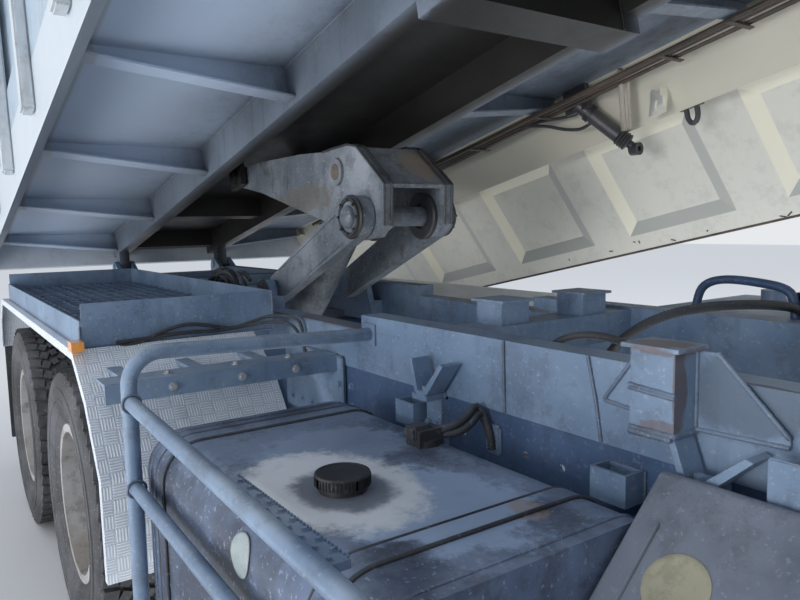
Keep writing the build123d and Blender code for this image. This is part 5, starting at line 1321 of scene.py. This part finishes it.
def pad(name, low, high, lean=0.0, crown=0.016):
    """A crowned cushion with a sewn edge; the lean moves its top back."""
    shape = bmesh.new()
    size = [b - a for a, b in zip(low, high)]
    thin = size.index(min(size))
    wide_ways = [k for k in range(3) if k != thin]
    bmesh.ops.create_cube(shape, size=1)
    bmesh.ops.subdivide_edges(shape, edges=shape.edges[:], cuts=9, use_grid_fill=True)
    for corner in shape.verts:
        u, v, w = (2 * c for c in corner.co)
        pull = 1 - corner_pull * (u * u * v * v + v * v * w * w + w * w * u * u)
        spot = [a + d * (c * pull + 0.5) for a, d, c in zip(low, size, corner.co)]
        spot[0] += lean * (corner.co.z + 0.5)
        outer_way = 1 if corner.co[thin] > 0 else -1
        swell = math.prod(1 - (2 * corner.co[k]) ** 2 for k in wide_ways)
        spot[thin] += 1000 * crown * swell * outer_way
        from_seam = abs(abs(corner.co[1]) - seam_place)
        if from_seam < seam_half_width and abs(corner.co[thin]) > 0.45:
            spot[thin] -= seam_depth * outer_way
        corner.co = at(*spot)
    cushion = ready(name, as_mesh(shape), "cab", "seat_fabric", None, 80)
    smooth = cushion.modifiers.new("smooth", "SUBSURF")
    smooth.levels = smooth.render_levels = 1


for hand, middle in (("left", 555), ("right", -555)):
    pad(f"seat_cushion_{hand}", (2522, middle - 281, 1640), (3142, middle + 281, 1806))
    pad(f"seat_back_{hand}", (2506, middle - 270, 1770), (2712, middle + 270, 2470), lean=-138, crown=0.012)
print("cab dressed")

# %% [markdown]
# ## Back end and axles
# The tailgate and the headboard get the ribs that stiffen such plates. Mud flaps hang behind the rear wheels,
# and each rear axle has a pair of brake chambers.

# %% Ribs of the tailgate and the headboard
gate_ribs = [((-236, y - 35, 110), (-213, y + 35, 1010)) for y in range(-1180, 1181, 472)]
gate_ribs += [((-232, -1215, h - 30), (-213, 1215, h + 30)) for h in (112, 980)]
ready("tailgate_ribs", blocks(gate_ribs, place=on_body, edge=7), "rear_gate", "white_paint")
head_ribs = [((5698, y - 30, 150), (5724, y + 30, 1380)) for y in range(-1150, 1151, 460)]
head_ribs += [((5698, -1230, 1330), (5720, 1230, 1392))]
ready("headboard_ribs", blocks(head_ribs, place=on_body, edge=6), "tipping_body", "white_paint")
wall_ribs = [((s - 36, -1293, 108), (s + 36, -1249, 1138)) for s in range(560, 4971, 735)]
wall_ribs += [((-48, -1282, 1092), (5638, -1249, 1138))]
ready("wall_ribs", blocks(wall_ribs, place=on_body, edge=7), "tipping_body", "white_paint", "wall_rib")
post_plates = blocks(both_sides((-160, -120), (1248, 1264), (1000, 1150)), place=on_body, edge=4)
ready("post_plates", post_plates, "tipping_body", "white_paint")

# %% Mud flaps, rear plate and brake chambers
flaps = blocks(both_sides((-3100, -3088), (615, 1215), (300, 880)), edge=4)
ready("mud_flaps", flaps, "chassis", "black_plastic", "hose_rubber")
rear_plate = blocks([((-3647, -260, 468), (-3640, 260, 562))], edge=2)
ready("rear_plate", rear_plate, "chassis", "chassis_paint", "pale_disc")
drum = [(0, 30), (6, 62), (34, 80), (40, 86), (50, 86), (56, 80), (150, 78), (162, 60), (166, 0.5)]
chambers = [turned(drum, at(x, side * 228, 640), (-1, 0, 0.12), 28)
            for x in (-1150, -2500) for side in (-1, 1)]
ready("brake_chambers", together(chambers), "chassis", "cast", None, 40)
print("back end and axles dressed")

# %% [markdown]
# ## Engine
# The engine shows only with the cab tilted, and behind the grille. Its block is plain in the model, so the
# covers, ribs and feet that break it up are blocks with broken edges, and its air pipe is a tube on a line.

# %% Engine: cam covers with bolts, air pipe, side ribs and the feet on the rails
cover_starts = [2440 + 160 * k for k in range(6)]
covers = [((x, -125, 1352), (x + 138, 125, 1384)) for x in cover_starts]
covers.append(((2420, 168, 1340), (3404, 214, 1374)))
ready("cam_covers", blocks(covers, edge=9), "chassis", "cast", "cover_plastic")
cover_bolts = [(at(x + dx, y, 1384), (0, 0, 1))
               for x in cover_starts for dx in (12, 126) for y in (-108, 108)]
ready("cam_cover_bolts", fasteners(cover_bolts, 7, 6, 9), "chassis", "cast", "bright_bolt")
ribs = []
for x in range(2470, 3251, 130):
    ribs += both_sides((x, x + 26), (294, 312), (700, 1320))
ribs += both_sides((2410, 3410), (294, 314), (930, 968))
ready("engine_ribs", blocks(ribs, edge=5), "chassis", "cast")
feet = []
for x in (2520, 3180):
    feet += both_sides((x, x + 110), (294, 423), (884, 930))
    feet += both_sides((x + 30, x + 80), (294, 370), (930, 990))
ready("engine_feet", blocks(feet, edge=5), "chassis", "cast")
air_run = bent((2408, -230, 1330), (2440, -230, 1366), (2700, -222, 1370), (3100, -222, 1370),
               (3380, -226, 1366), (3440, -240, 1330), (3478, -250, 1290))
ready("engine_air_pipe", tubes([air_run], 17, gap=20, sides=12), "chassis", "cast", "dark_steel", 60)
fins = [((3474, y, 690), (3483, y + 6, 1300)) for y in range(-330, 331, 33)]
fins.append(((3470, -346, 1296), (3588, 346, 1352)))
ready("radiator_fins", blocks(fins, edge=1.5), "chassis", "cast", "dark_steel")
